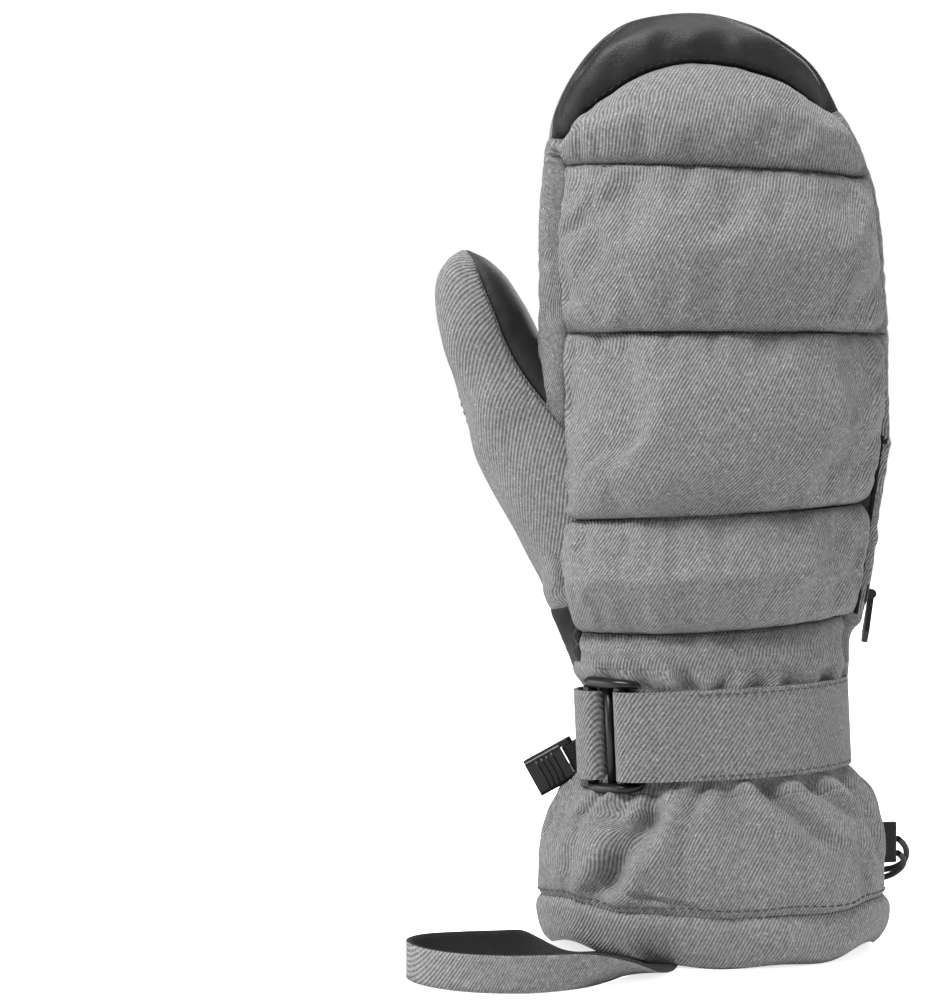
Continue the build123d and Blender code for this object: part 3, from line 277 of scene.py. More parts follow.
def twill(name, dark, light, pitch=1.1 * MM, lies="cut"):
    """Grey cloth with a steep diagonal weave and pale flecks.

    A cut panel carries its own weave coordinates. A band is wrapped round the wrist, or lies flat.
    """
    m = Nodes(name, roughness=0.9, sheen=0.06, specular=0.15)
    if lies == "cut":
        place = m.add("ShaderNodeAttribute", attribute_name="weave").outputs["Vector"]
    elif lies == "wrapped":
        spot = m.place()
        across, through = WRIST_OVAL
        turn = m.math("ARCTAN2", m.dot(spot, (0, 1 / through, 0)), m.dot(spot, (1 / across, 0, 0)))
        together = m.add("ShaderNodeCombineXYZ")
        m.link(m.math("MULTIPLY", turn, 39 * MM), together.inputs["X"])
        m.link(m.dot(spot, (0, 0, 1)), together.inputs["Z"])
        place = together.outputs[0]
    else:
        place = m.place()
    lean = TWILL_LEAN if lies == "flat" else 0.0
    diagonal = m.dot(place, (TWILL_RIB, lean, -TWILL_RISE))
    cross = m.dot(place, (TWILL_RISE, lean, TWILL_RIB))
    rib = m.math("SINE", m.math("MULTIPLY", diagonal, 2 * math.pi / pitch))
    thread = m.math("SINE", m.math("MULTIPLY", cross, 2 * math.pi / (pitch * THREAD_PITCH)))
    weave = m.math("MULTIPLY_ADD", thread, 0.30, rib)
    patchy = m.math("MULTIPLY", m.noise(750.0, 3.0), 3.6)
    flecks = m.math("MULTIPLY", m.math("GREATER_THAN", m.noise(1300.0), 0.66), 2.6)
    shade = m.math("ADD", m.math("ADD", weave, patchy), flecks)
    m.colour(m.ramp(shade, 0.3, 4.6, dark, light))
    m.bump(weave, 0.55, 0.0003)
    return m.material


def leather(name):
    """Black grained leather."""
    m = Nodes(name, roughness=0.55, specular=0.28)
    cells = m.add("ShaderNodeTexVoronoi", feature="DISTANCE_TO_EDGE", Scale=620.0)
    m.link(m.place(), cells.inputs["Vector"])
    grain = m.math("MINIMUM", cells.outputs["Distance"], 0.12)
    m.colour(m.ramp(m.noise(160.0, 4.0), 0.3, 0.8, (0.004, 0.004, 0.004), (0.013, 0.013, 0.014)))
    m.bump(grain, 0.55, 0.0006)
    return m.material


def knit(name, tone=0.022):
    """Plain black cloth."""
    m = Nodes(name, roughness=0.9, sheen=0.03, specular=0.12)
    m.colour(m.ramp(m.noise(1400.0), 0.3, 0.75, (tone * 0.5,) * 3, (tone * 1.7,) * 3))
    m.bump(m.noise(1700.0), 0.25, 0.0003)
    return m.material


HEX_ACROSS, HEX_LINE = 5.8 * MM, 0.27 * MM
SHINE_X, SHINE_HALF = 15 * MM, 17 * MM  # the painted reflection on the print: a bright band up the palm
PALM_BOTTOM, PALM_DULL = 96 * MM, 40 * MM  # the print dulls over this height above the wrist
PALM_EDGE_X, PALM_FADE = 50 * MM, 8 * MM  # and over this width at the thumb side


def hex_grip(name):
    """Black cloth printed with silver hexagon outlines, with a reflection painted on the print as a bright band beside
    the middle of the palm.
    """
    m = Nodes(name, roughness=0.65, sheen=0.03, specular=0.2)
    place = m.place()
    x = m.dot(place, (1, 0, 0))
    z = m.dot(place, (0, 0, 1))
    column = HEX_ACROSS * math.sqrt(3)
    distances = []
    for shift_x, shift_z in ((0.0, 0.0), (column / 2, HEX_ACROSS / 2)):
        from_middle = []
        for value, shift, cell in ((x, shift_x, column), (z, shift_z, HEX_ACROSS)):
            wrapped = m.math("FLOORED_MODULO", m.math("ADD", value, 1 + shift), cell)
            from_middle.append(m.math("ABSOLUTE", m.math("SUBTRACT", wrapped, cell / 2)))
        slanted = m.math("MULTIPLY_ADD", from_middle[0], math.sqrt(3) / 2, m.math("MULTIPLY", from_middle[1], 0.5))
        distances.append(m.math("MAXIMUM", slanted, from_middle[1]))
    edge = m.math("SUBTRACT", HEX_ACROSS / 2, m.math("MINIMUM", *distances))
    printed = m.math("LESS_THAN", edge, HEX_LINE)
    # painted reflection: the print's colour is brightest in a band beside the middle of the palm
    off = m.math("DIVIDE", m.math("ABSOLUTE", m.math("SUBTRACT", x, SHINE_X)), SHINE_HALF)
    band = m.math("SUBTRACT", 1.0, m.math("MINIMUM", m.math("POWER", off, 4.0), 1.0))
    # random patches where the print's colour is brighter
    bright_patches = m.math("MULTIPLY", m.math("GREATER_THAN", m.noise(190.0), 0.44), 0.3)
    low = m.math("MINIMUM", m.math("DIVIDE", m.math("SUBTRACT", z, PALM_BOTTOM), PALM_DULL), 1.0)
    lit = m.math("MULTIPLY", m.math("MAXIMUM", m.math("MULTIPLY", band, 0.9), bright_patches), m.math("MAXIMUM", low, 0.3))
    inside = m.math("DIVIDE", m.math("ADD", x, PALM_EDGE_X), PALM_FADE)
    inside = m.math("MAXIMUM", m.math("MINIMUM", inside, 1.0), 0.0)
    shade = m.math("MULTIPLY", m.math("MULTIPLY", printed, m.math("ADD", lit, 0.06)), inside)
    m.colour(m.ramp(shade, 0.0, 1.0, (0.006,) * 3, (0.62, 0.62, 0.63)))
    m.bump(printed, 0.3, 0.0003)
    return m.material


def smooth_plastic(name, tone=0.004, roughness=0.35):
    """Plain moulded plastic, or smooth thread."""
    m = Nodes(name, roughness=roughness, specular=0.3)
    m.colour((tone, tone, tone))
    m.bump(m.noise(1200.0), 0.06, 0.0002)
    return m.material


BRAID_PITCH = 0.9 * MM


def braid(name, tone=0.006):
    """Braided cord or ribbed webbing."""
    m = Nodes(name, roughness=0.7, sheen=0.04, specular=0.2)
    place = m.place()
    ribs, cross = (
        m.math("SINE", m.math("MULTIPLY", m.dot(place, way), 2 * math.pi / BRAID_PITCH))
        for way in ((1, 1, 0.4), (0.4, -0.6, 1))
    )
    woven = m.math("MULTIPLY", ribs, cross)
    m.colour(m.ramp(woven, -1.0, 1.0, (tone * 0.5,) * 3, (tone * 1.8,) * 3))
    m.bump(woven, 0.5, 0.0003)
    return m.material


def metal(name):
    """Polished metal."""
    m = Nodes(name, roughness=0.22, metallic=1.0)
    m.colour((0.78, 0.78, 0.79))
    return m.material


GREY = twill("grey_twill", (0.062, 0.062, 0.063), (0.285, 0.285, 0.288))
HEM_GREY = twill("grey_twill_hem", (0.066, 0.066, 0.067), (0.30, 0.30, 0.303))
STRAP_GREY = twill("strap_twill", (0.060, 0.060, 0.061), (0.265, 0.265, 0.268), 1.05 * MM, "wrapped")
LEATHER = leather("grained_leather")
GRIP = hex_grip("hexagon_grip")
LINING = knit("lining_knit", 0.012)
PATCH = knit("hook_and_loop", 0.008)
PLASTIC = smooth_plastic("black_plastic")
CORD = braid("black_cord")
WEBBING = braid("black_webbing", 0.008)
LEASH_GREY = twill("grey_webbing", (0.075, 0.075, 0.076), (0.31, 0.31, 0.313), 0.8 * MM, "flat")
METAL = metal("polished_metal")
THREAD = smooth_plastic("grey_thread", 0.05, 0.7)
DARK_THREAD = smooth_plastic("dark_thread", 0.01, 0.6)
LABEL = knit("label_cloth", 0.55)
LABEL.node_tree.nodes["Principled BSDF"].inputs["Sheen Weight"].default_value = 0.0


# panels of the back between the keyed rows, from the wrist up
BACK_PANELS = ["back_band", "back_baffle_4", "back_baffle_3", "back_baffle_2", "back_baffle_2", "back_baffle_1",
               "fingertip_cap"]
PANEL_LOOKS = {
    "fingertip_cap": (LEATHER, "leather_black"),
    "palm_leather": (LEATHER, "leather_black"),
    "thumb_leather": (LEATHER, "leather_black"),
    "palm_grip": (GRIP, "grip_black"),
    "hem": (HEM_GREY, "twill_grey"),
}
PAD_FILL, HEM_THICKNESS = 0.7, 5.0


# --- mesh helpers ---


def new_object(name, points, faces, material, weave=None):
    """A smooth mesh in the scene; weave gives two coordinates of the cloth's weave for each point."""
    mesh = bpy.data.meshes.new(name)
    mesh.from_pydata([tuple(p) for p in points], [], [tuple(int(i) for i in f) for f in faces])
    if weave is not None:
        attribute = mesh.attributes.new("weave", "FLOAT_VECTOR", "POINT")
        attribute.data.foreach_set("vector", np.column_stack([weave[:, 0], weave[:, 0] * 0, weave[:, 1]]).ravel())
    mesh.validate()
    mesh.materials.append(material)
    mesh.shade_smooth()
    obj = bpy.data.objects.new(name, mesh)
    bpy.context.scene.collection.objects.link(obj)
    return obj


def thicken(obj, thickness, offset=-1.0):
    """Thickness towards the inside, or to both sides with an offset of 0."""
    solidify = obj.modifiers.new("thickness", "SOLIDIFY")
    solidify.thickness = thickness
    solidify.offset = offset
    solidify.use_rim = True


def piece(obj, replaces=(), body=BODY):
    """Registers a finished piece: its body and the CAD nodes it stands for."""
    if replaces:
        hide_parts(*replaces)
    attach(obj, body)


def grid_faces(rows, columns, closed):
    """Quads of a grid whose points run row by row; a closed grid joins its last column to its first."""
    faces = []
    for row in range(rows - 1):
        for column in range(columns if closed else columns - 1):
            right = (column + 1) % columns
            here, above = row * columns, (row + 1) * columns
            faces.append((here + column, here + right, above + right, above + column))
    return faces


def cloth_panel(name, points, members, weave, material, thickness):
    """One panel cut out of a closed grid, with its weave running on across the grid's own join."""
    columns = points.shape[1]
    flat = points.reshape(-1, 3)
    used = np.array(sorted({i for f in members for i in f}))
    index = {old: new for new, old in enumerate(used)}
    cells = weave.reshape(-1, 2)[used].copy()
    place = used % columns
    if place.min() == 0 and place.max() == columns - 1:
        present = np.unique(place)
        gap = np.diff(present)
        start = present[np.argmax(gap) + 1] if gap.max() > 1 else columns / 2
        around = weave[:, -1, 0] - weave[:, 0, 0] + np.linalg.norm(points[:, 0] - points[:, -1], axis=1)
        cells[place < start, 0] += around[used[place < start] // columns]
    obj = new_object(name + "_cloth", flat[used], [[index[i] for i in f] for f in members], material, cells)
    smooth = obj.modifiers.new("smooth", "SUBSURF")
    smooth.levels = smooth.render_levels = 1
    thicken(obj, thickness)
    return obj


def weave_of(points, middle):
    """Weave coordinates of a closed grid: how far round from its middle column, and how high along the cloth."""
    steps = np.cumsum(np.linalg.norm(np.diff(points, axis=1), axis=2), axis=1)
    around = np.hstack([np.zeros((len(points), 1)), steps])
    around -= around[:, middle : middle + 1]
    climbs = np.cumsum(np.linalg.norm(np.diff(points, axis=0), axis=2), axis=0)
    up = np.vstack([np.zeros((1, points.shape[1])), climbs])
    return np.stack([around, up], axis=2)


def cut_panels(points, name_of, middle, thickness):
    """Cuts a closed grid into the panels that name_of gives by row and column, and registers each."""
    weave = weave_of(points, middle)
    panels = {}
    for face in grid_faces(*points.shape[:2], True):
        panels.setdefault(name_of(*divmod(face[0], points.shape[1])), []).append(face)
    for name, members in panels.items():
        material, slot = PANEL_LOOKS.get(name, (GREY, "twill_grey"))
        depth = HEM_THICKNESS if name == "hem" else thickness
        obj = cloth_panel(name, points, members, weave, material, depth * MM)
        extra = ["wrist_elastic"] if name == "wrist_palm_panel" else []
        piece(obj, [name] + extra)


def grid_normals(points):
    """Outward normals of a closed grid given as rows, columns, 3, whose columns run anticlockwise from above."""
    across = np.roll(points, -1, 1) - np.roll(points, 1, 1)
    upward = np.gradient(points, axis=0)
    normal = np.cross(across, upward)
    return normal / np.maximum(np.linalg.norm(normal, axis=2, keepdims=True), 1e-12)


def puffed(points, faces, pinned, pressure, shrink, frames, cap):
    """Points of a surface after it is blown up as cloth with some points held; cap limits each point's move."""
    obj = new_object("cloth_work", points, faces, GREY)
    group = obj.vertex_groups.new(name="held")
    for index, weight in enumerate(pinned):
        if weight > 0:
            group.add([index], float(weight), "REPLACE")
    cloth = obj.modifiers.new("cloth", "CLOTH")
    settings = cloth.settings
    settings.vertex_group_mass = "held"
    settings.quality = 6
    settings.mass = 0.3
    settings.tension_stiffness = 25
    settings.compression_stiffness = 25
    settings.shear_stiffness = 8
    settings.bending_stiffness = 0.4
    settings.use_pressure = True
    settings.uniform_pressure_force = pressure
    settings.shrink_min = shrink
    settings.effector_weights.gravity = 0
    cloth.collision_settings.use_collision = False
    cloth.point_cache.frame_start = 1
    cloth.point_cache.frame_end = frames
    scene = bpy.context.scene
    for number in range(1, frames + 1):
        scene.frame_set(number)
    result = obj.evaluated_get(bpy.context.evaluated_depsgraph_get()).data
    moved = np.array([v.co for v in result.vertices])
    scene.frame_set(1)
    bpy.data.objects.remove(obj, do_unlink=True)
    step = moved - points
    length = np.linalg.norm(step, axis=1, keepdims=True)
    return points + step * np.minimum(1, cap / np.maximum(length, 1e-9))


def face_outward(obj):
    """Turns every face of a closed mesh outwards."""
    work = bmesh.new()
    work.from_mesh(obj.data)
    bmesh.ops.recalc_face_normals(work, faces=work.faces)
    work.to_mesh(obj.data)
    work.free()


STITCH_SPACING, STITCH_LENGTH, STITCH_RADIUS = 3.1 * MM, 2.2 * MM, 0.28 * MM
STITCH_SIDES = 6


def stitches(name, line, normals, material, lift=0.0):
    """Short threads along a line of points, each lying on the surface or lifted off it."""
    normals = np.asarray(normals, float)
    line = np.asarray(line, float) + normals * lift
    gaps = np.linalg.norm(np.diff(line, axis=0), axis=1)
    run = np.concatenate([[0], np.cumsum(gaps)])
    half = STITCH_LENGTH / 2
    points, faces = [], []
    for start in np.arange(STITCH_SPACING / 2, run[-1] - STITCH_SPACING / 2, STITCH_SPACING):
        ends = [np.array([np.interp(start + s, run, line[:, k]) for k in range(3)]) for s in (-half, half)]
        up = np.array([np.interp(start, run, normals[:, k]) for k in range(3)])
        up /= max(np.linalg.norm(up), 1e-9)
        forward = ends[1] - ends[0]
        forward /= max(np.linalg.norm(forward), 1e-9)
        side = np.cross(up, forward)
        base = len(points)
        for share, size in ((0.0, 0.35), (0.22, 1.0), (0.78, 1.0), (1.0, 0.35)):
            middle = ends[0] + (ends[1] - ends[0]) * share + up * STITCH_RADIUS * (0.5 if 0 < share < 1 else -0.4)
            for turn in range(STITCH_SIDES):
                angle = turn * 2 * math.pi / STITCH_SIDES
                points.append(middle + (side * math.cos(angle) + up * math.sin(angle)) * STITCH_RADIUS * size)
        faces += [tuple(base + i for i in face) for face in grid_faces(4, STITCH_SIDES, True)]
        faces.append(tuple(base + STITCH_SIDES - 1 - k for k in range(STITCH_SIDES)))
        faces.append(tuple(base + 3 * STITCH_SIDES + k for k in range(STITCH_SIDES)))
    return new_object(name, points, faces, material)


# --- hand ---

# gathers: angle at the strap and at the upper end, height of the upper end, half width and depth (mm)
GATHERS = [
    (262, 250, 104, 2.6, 3.4),
    (266, 276, 101, 2.2, 2.2),
    (285, 288, 100, 2.8, 2.6),
    (299, 304, 101, 2.6, 2.4),
    (318, 330, 104, 2.8, 2.8),
    (240, 232, 103, 2.6, 1.8),
    (222, 212, 103, 2.6, 1.8),
    (340, 346, 104, 2.6, 1.8),
    (24, 22, 113, 2.4, 2.2),
    (43, 42, 116, 2.4, 2.2),
    (60, 58, 118, 2.4, 2.6),
    (76, 76, 116, 2.2, 2.2),
    (92, 93, 119, 2.4, 2.6),
    (108, 110, 117, 2.4, 2.2),
    (125, 128, 119, 2.4, 2.6),
    (143, 146, 115, 2.4, 2.2),
    (160, 162, 112, 2.4, 2.0),
]

BACK_CELLS, SIDE_CELLS, PALM_CELLS = 62, 9, 54
COLUMNS = BACK_CELLS + SIDE_CELLS + PALM_CELLS + SIDE_CELLS
# rows between the keyed levels, from the wrist up
ROW_COUNTS = [7, 18, 28, 13, 14, 12, 16]
KEY_ROWS = np.concatenate([[0], np.cumsum(ROW_COUNTS)])
ROWS = int(KEY_ROWS[-1]) + 1
# first column of each panel after the back, which starts at column 0 at its thumb-side seam
SIDE_START = BACK_CELLS
PALM_START = SIDE_START + SIDE_CELLS
THUMB_SIDE_START = PALM_START + PALM_CELLS
CAP_LEVEL = 298  # height of the cap's row on the palm side
PAD_RISE, FLAT_RISE = 9.2, 1.2  # fullness of the quilted pads, and of the other panels
PAD_SINK = 4.4  # the back's seams lie this far under the outline
SEAM_GROOVE = 1.5
BACK_Y = -4  # the padding covers what lies further back than this
THREAD_LIFT = 0.15 * MM


def hand_angles(half_depth, height):
    """Angles of the columns at one level: back, little-finger side, palm, thumb side."""
    seams = [np.interp(height, SEAM_LEVELS, ys) for ys in (SEAM_THUMB_Y, SEAM_OTHER_Y, SEAM_PALM_Y, SEAM_PALM_THUMB_Y)]
    thumb, other, palm, palm_thumb = (np.arcsin(np.clip(y / half_depth, 0.02, 0.62)) for y in seams)
    shares = [np.linspace(0, 1, cells, endpoint=False) for cells in (BACK_CELLS, SIDE_CELLS, PALM_CELLS, SIDE_CELLS)]
    bounds = [math.pi + thumb, 2 * math.pi - other, 2 * math.pi + palm, 3 * math.pi - palm_thumb, 3 * math.pi + thumb]
    return np.concatenate([low + (high - low) * share for low, high, share in zip(bounds, bounds[1:], shares)])


def cap_edge(x):
    """Height of the fingertip cap's lower edge."""
    side = np.where(x < CAP_MIDDLE_X, CAP_SIDES[0], CAP_SIDES[1])
    reach = np.where(x < CAP_MIDDLE_X, CAP_THUMB_X + CAP_MIDDLE_X, CAP_OTHER_X - CAP_MIDDLE_X)
    share = np.clip(np.abs(x - CAP_MIDDLE_X) / reach, 0, 1.15)
    return CAP_MIDDLE + (side - CAP_MIDDLE) * share**2


def sloping(seam, x):
    """Height of a seam given by its heights at the two sides."""
    return seam[0] + (seam[1] - seam[0]) * (x + 60) / 120


def hand_points():
    """The hand's surface before padding, as rows, columns, 3, in mm."""
    top = HAND_OUTLINE[-1][0]
    rows = np.arange(ROWS)
    first = [HAND_LOW, 110, 150, 212, 240, 269, CAP_LEVEL, top]
    height = np.tile(np.interp(rows, KEY_ROWS, first)[:, None], (1, COLUMNS))
    half = PALM_CELLS / 2
    palm = unit(1 - np.abs(np.arange(COLUMNS) - (PALM_START + half)) / half)
    palm = unit(palm * 6)
    # a point's height sets its X, which sets the height of a sloping seam, so the two are brought together in turns
    for _ in range(6):
        left = along(HAND_OUTLINE, height, 1)
        right = along(HAND_OUTLINE, height, 2)
        depth = along(HAND_OUTLINE, height, 3)
        angles = np.stack([hand_angles(d, z) for d, z in zip(depth.mean(axis=1), height.mean(axis=1))])
        x = (left + right) / 2 + (right - left) / 2 * np.cos(angles)
        y = depth * np.sin(angles)
        keys = [
            np.full(COLUMNS, HAND_LOW),
            sloping(SEAM_LOW, x[KEY_ROWS[1]]),
            sloping(SEAM_3, x[KEY_ROWS[2]]),
            sloping(SEAM_2, x[KEY_ROWS[3]]),
            sloping(LEATHER_SEAM, x[KEY_ROWS[4]]),
            sloping(SEAM_1, x[KEY_ROWS[5]]),
            cap_edge(x[KEY_ROWS[6]]) * (1 - palm) + CAP_LEVEL * palm,
            np.full(COLUMNS, top),
        ]
        for column in range(COLUMNS):
            height[:, column] = np.interp(rows, KEY_ROWS, [key[column] for key in keys])
        over = rows >= KEY_ROWS[6]
        share = (rows[over] - KEY_ROWS[6]) / (KEY_ROWS[7] - KEY_ROWS[6])
        eased = np.sin(share * math.pi / 2)
        height[over] = keys[6] + (top - keys[6]) * eased[:, None]
    return np.stack([x, y, height], axis=2)


def region_of(row, column):
    """Which panel a face of the hand belongs to."""
    if column < SIDE_START:
        return BACK_PANELS[int(np.searchsorted(KEY_ROWS, row, side="right")) - 1]
    if column < PALM_START:
        return "gusset_little_finger_side"
    if column < THUMB_SIDE_START:
        return "palm_leather" if row >= KEY_ROWS[4] else "palm_grip"
    if row < KEY_ROWS[1] + 4:
        return "palm_grip"
    return "gusset_thumb_side"


def seam_mask():
    """1 where a point of the hand lies on a seam."""
    mask = np.zeros((ROWS, COLUMNS))
    mask[:, [0, SIDE_START, PALM_START, THUMB_SIDE_START]] = 1
    for key in (1, 2, 3, 5, 6):
        mask[KEY_ROWS[key], : SIDE_START + 1] = 1
    mask[KEY_ROWS[4], PALM_START : THUMB_SIDE_START + 1] = 1
    mask[-1, :] = 1
    return mask


def distance_to_seams(points, mask):
    """Distance of each point of a grid to its nearest seam point, in mm."""
    flat = points.reshape(-1, 3)
    seams = flat[mask.reshape(-1) > 0]
    best = np.full(len(flat), 1e9)
    for start in range(0, len(seams), 200):
        gap = np.linalg.norm(flat[:, None, :] - seams[None, start : start + 200, :], axis=2)
        best = np.minimum(best, gap.min(axis=1))
    return best.reshape(points.shape[:2])


def gathers(points):
    """Folds that rise from the strap on the back and from the elastic on the palm."""
    angle = np.degrees(np.arctan2(points[:, :, 1] / 31, points[:, :, 0] / 45)) % 360
    relief = np.zeros(points.shape[:2])
    for start, end, top, width, depth in GATHERS:
        share = np.clip((points[:, :, 2] - 84) / (top - 84), -1, 1.3)
        off = ((angle - (start + (end - start) * share) + 180) % 360 - 180) * 0.72 / width
        reach = np.exp(-np.maximum(0, share - 0.35) ** 2 / 0.12)
        relief += depth * reach * (-bell(off) + 0.55 * bell((np.abs(off) - 1.9) / 0.9))
    return relief


def make_hand():
    """The hand's panels, padded and blown up a little as cloth, with their threads."""
    points = hand_points()
    mask = seam_mask()
    distance = distance_to_seams(points, mask)
    normal = grid_normals(points)
    back = (points[:, :, 1] < BACK_Y).astype(float)
    palm = (points[:, :, 1] > PALM_Y).astype(float)
    # padding: full well away from the seams, pulled in at the seams themselves
    rise = 0.65 * (1 - np.exp(-distance / 7.0)) + 0.35 * (1 - bell(distance / 22.0))
    groove = SEAM_GROOVE * bell(distance / 1.8) * (back + 0.4 * (1 - back))
    swell = rise * (PAD_RISE * back + FLAT_RISE * (1 - back)) - PAD_SINK * back - groove
    # puckers that run away from the cross seams and fade in the middle of each pad
    crumple = Ripple(15, stretch=(0.75, 1, 3.6))
    soft = Ripple(42)
    fine = Ripple(8, stretch=(0.8, 1, 3.4))
    near = bell((distance - 4.5) / 6.5)
    uneven = crumple(points) * 0.85 * near + fine(points) * 0.42 * near + soft(points) * 1.0 * rise
    swell += uneven * (back + 0.3 * (1 - back) * (1 - palm) + 0.4 * palm)
    # towards the wrist the panels run on into the cuff, with gathers rising from the strap
    low = unit((points[:, :, 2] - HAND_LOW) / 11.0)
    swell = swell * low + (1 - low) * 0.4 + gathers(points)
    fade = np.clip((322.0 - points[:, :, 2]) / 10.0, 0.15, 1)
    points = points + normal * (swell * fade)[:, :, None]
    points *= MM
    # the seams, the wrist end and the fingertips are held, and the two sides partly
    held = mask.copy()
    held[:4] = 1
    held = np.maximum(held, unit((points[:, :, 2] / MM - 284) / 8))
    held = np.maximum(held, 0.6 * (np.abs(points[:, :, 1]) < 11 * MM))
    faces = grid_faces(ROWS, COLUMNS, True)
    moved = puffed(points.reshape(-1, 3), faces, held.reshape(-1), 2.4, -0.055, 14, 3.2 * MM)
    points = moved.reshape(ROWS, COLUMNS, 3)
    normal = grid_normals(points)
    cut_panels(points, region_of, BACK_CELLS // 2, 1.6)
    hand_threads(points, normal)


def offset_row(points, row, columns, shift):
    """Points beside a row of the grid, a distance towards the next row (+) or the one before (-)."""
    here = points[row, columns]
    there = points[row + (2 if shift > 0 else -2), columns]
    gap = there - here
    return here + gap / np.maximum(np.linalg.norm(gap, axis=1, keepdims=True), 1e-9) * abs(shift)


def hand_threads(points, normal):
    """Topstitching beside the seams of the back and the palm."""
    back = np.arange(1, SIDE_START)
    palm = np.arange(PALM_START + 1, THUMB_SIDE_START)
    jobs = [(f"quilt_stitches_{key}", key, back, -1.4, THREAD) for key in (1, 2, 3, 5)]
    jobs += [("cap_stitches", 6, back, 1.6, DARK_THREAD), ("leather_stitches", 4, palm, 1.8, DARK_THREAD)]
    for name, key, columns, beside, material in jobs:
        row = KEY_ROWS[key]
        line = offset_row(points, row, columns, beside * MM)
        piece(stitches(name, line, normal[row, columns], material, THREAD_LIFT))


# --- thumb ---

THUMB_COLUMNS = 72
THUMB_LOW, THUMB_ROUND, THUMB_TIP = 112, 232, 9.4  # lower end, where the tip starts to round, and the tip's height
THUMB_TOP = 240
SEAM_BESIDE = 0.16  # the back seam lies this far from the outer edge (radians)


def make_thumb():
    """The thumb's two cloth panels and its leather, with the thread of its three seams."""
    tip = THUMB_ROUND + THUMB_TIP * np.sin(np.linspace(0, math.pi / 2, 12))
    heights = np.concatenate([np.arange(THUMB_LOW, THUMB_ROUND, 2.0), tip])
    count = len(heights)
    inner = math.radians(75)
    angle = np.linspace(0, 2 * math.pi, THUMB_COLUMNS, endpoint=False)[None, :]
    turn = (angle + math.pi) % (2 * math.pi) - math.pi
    h = heights[:, None]
    end = np.radians(np.interp(h, LEATHER_LEVELS, LEATHER_ENDS))
    angle = np.where(
        np.abs(turn) <= inner,
        -inner + (turn + inner) * (end + inner) / (2 * inner),
        np.where(turn > 0, end + (turn - inner) * (math.pi - end) / (math.pi - inner), turn),
    )
    left, right, middle, depth = (along(THUMB_OUTLINE, h, k) for k in (1, 2, 3, 4))
    x = (left + right) / 2 + (right - left) / 2 * np.cos(angle)
    y = middle + depth * np.sin(angle)
    tilt = (x - (left + right) / 2) * -0.18 * unit((h - 165) / 40)
    points = np.stack([x, y, h + tilt * unit((THUMB_TOP - h) / 20)], axis=2)
    normal = grid_normals(points)
    # the leather covers the side that faces the hand, the seams run up the outer edge and beside it
    seam_angles = [-inner, inner, math.pi - SEAM_BESIDE]
    gap = np.minimum.reduce([np.abs((turn - s + math.pi) % (2 * math.pi) - math.pi) for s in seam_angles])
    near = gap * (right - left) / 2
    swell = 1.6 * (1 - np.exp(-near / 6.0)) - 0.9 * bell(near / 1.5)
    crumple = Ripple(16, stretch=(1.2, 1.2, 0.8))
    swell = swell + crumple(points) * 0.5 + Ripple(30)(points) * 0.6
    points = (points + normal * (swell * unit((THUMB_TOP - h) / 8))[:, :, None]) * MM
    normal = grid_normals(points)

    def panel_of(_, column):
        place = turn[0, column] + math.pi / THUMB_COLUMNS
        if -inner < place < inner:
            return "thumb_leather"
        return "thumb_front_panel" if inner <= place < math.pi - SEAM_BESIDE else "thumb_back_panel"

    cut_panels(points, panel_of, THUMB_COLUMNS * 5 // 8, 1.4)
    rows = np.arange(20, count - 8)
    for number, seam in enumerate(seam_angles):
        column = int(round((seam % (2 * math.pi)) / (2 * math.pi) * THUMB_COLUMNS))
        column = (column + (1 if number != 0 else -1)) % THUMB_COLUMNS
        obj = stitches(f"thumb_stitches_{number + 1}", points[rows, column], normal[rows, column], THREAD, THREAD_LIFT)
        piece(obj)


# --- cuff and linings ---

CUFF_COLUMNS = 260
HEM_ROUND, HEM_SEAM = 6.0, 17.5  # how far up the hem's edge rounds, and the height of its seam
HEM_PANEL_TOP, CUFF_PANEL_TOP = 17.2, 56  # where one panel gives way to the next
STITCH_LEVEL = 19.0
# folds: angle and height of both ends, half width (mm), depth (mm); 270 degrees is the back's middle
FOLDS = [
    (242, 62, 244, 48, 3.0, 2.6),
    (244, 50, 228, 22, 3.6, 4.2),
    (286, 62, 306, 42, 3.2, 3.4),
    (308, 62, 322, 50, 2.8, 2.6),
    (262, 62, 258, 50, 2.6, 2.0),
    (272, 60, 276, 46, 3.4, 1.8),
    (222, 62, 214, 50, 2.6, 2.0),
    (330, 62, 338, 34, 3.4, 2.2),
    (238, 24, 262, 20, 3.4, 2.2),
    (352, 60, 350, 40, 3.4, 2.4),
    (20, 62, 14, 36, 3.6, 3.0),
    (44, 62, 52, 34, 3.6, 3.4),
    (70, 62, 62, 40, 3.2, 2.8),
    (92, 62, 98, 30, 3.8, 3.6),
    (116, 62, 110, 42, 3.2, 2.6),
    (138, 62, 146, 32, 3.6, 3.2),
    (162, 60, 158, 38, 3.2, 2.4),
    (186, 60, 190, 40, 3.0, 2.2),
]


def fold_relief(points):
    """Depth of the cuff's folds: a valley along each line, with a soft ridge each side of it."""
    relief = np.zeros(points.shape[:2])
    angle = np.degrees(np.arctan2(points[:, :, 1] / 44, points[:, :, 0] / 60)) % 360
    for start, top, end, bottom, width, depth in FOLDS:
        share = np.clip((points[:, :, 2] - bottom) / (top - bottom), -0.25, 1.25)
        centre = end + (start - end) * share
        off = ((angle - centre + 180) % 360 - 180) * 0.92
        if abs(start - end) > 12:
            # a fold that lies across is measured square to itself
            off = off * 0.8
        reach = np.exp(-(np.maximum(0, np.abs(share - 0.5) - 0.42) * (top - bottom) / 4.5) ** 2)
        s = off / width
        relief += depth * reach * (-bell(s) + 0.42 * bell((np.abs(s) - 2.1) / 1.1))
    return relief


def ring_angles(columns):
    """Angles of a closed grid's columns, as one row."""
    return np.linspace(0, 2 * math.pi, columns, endpoint=False)[None, :]


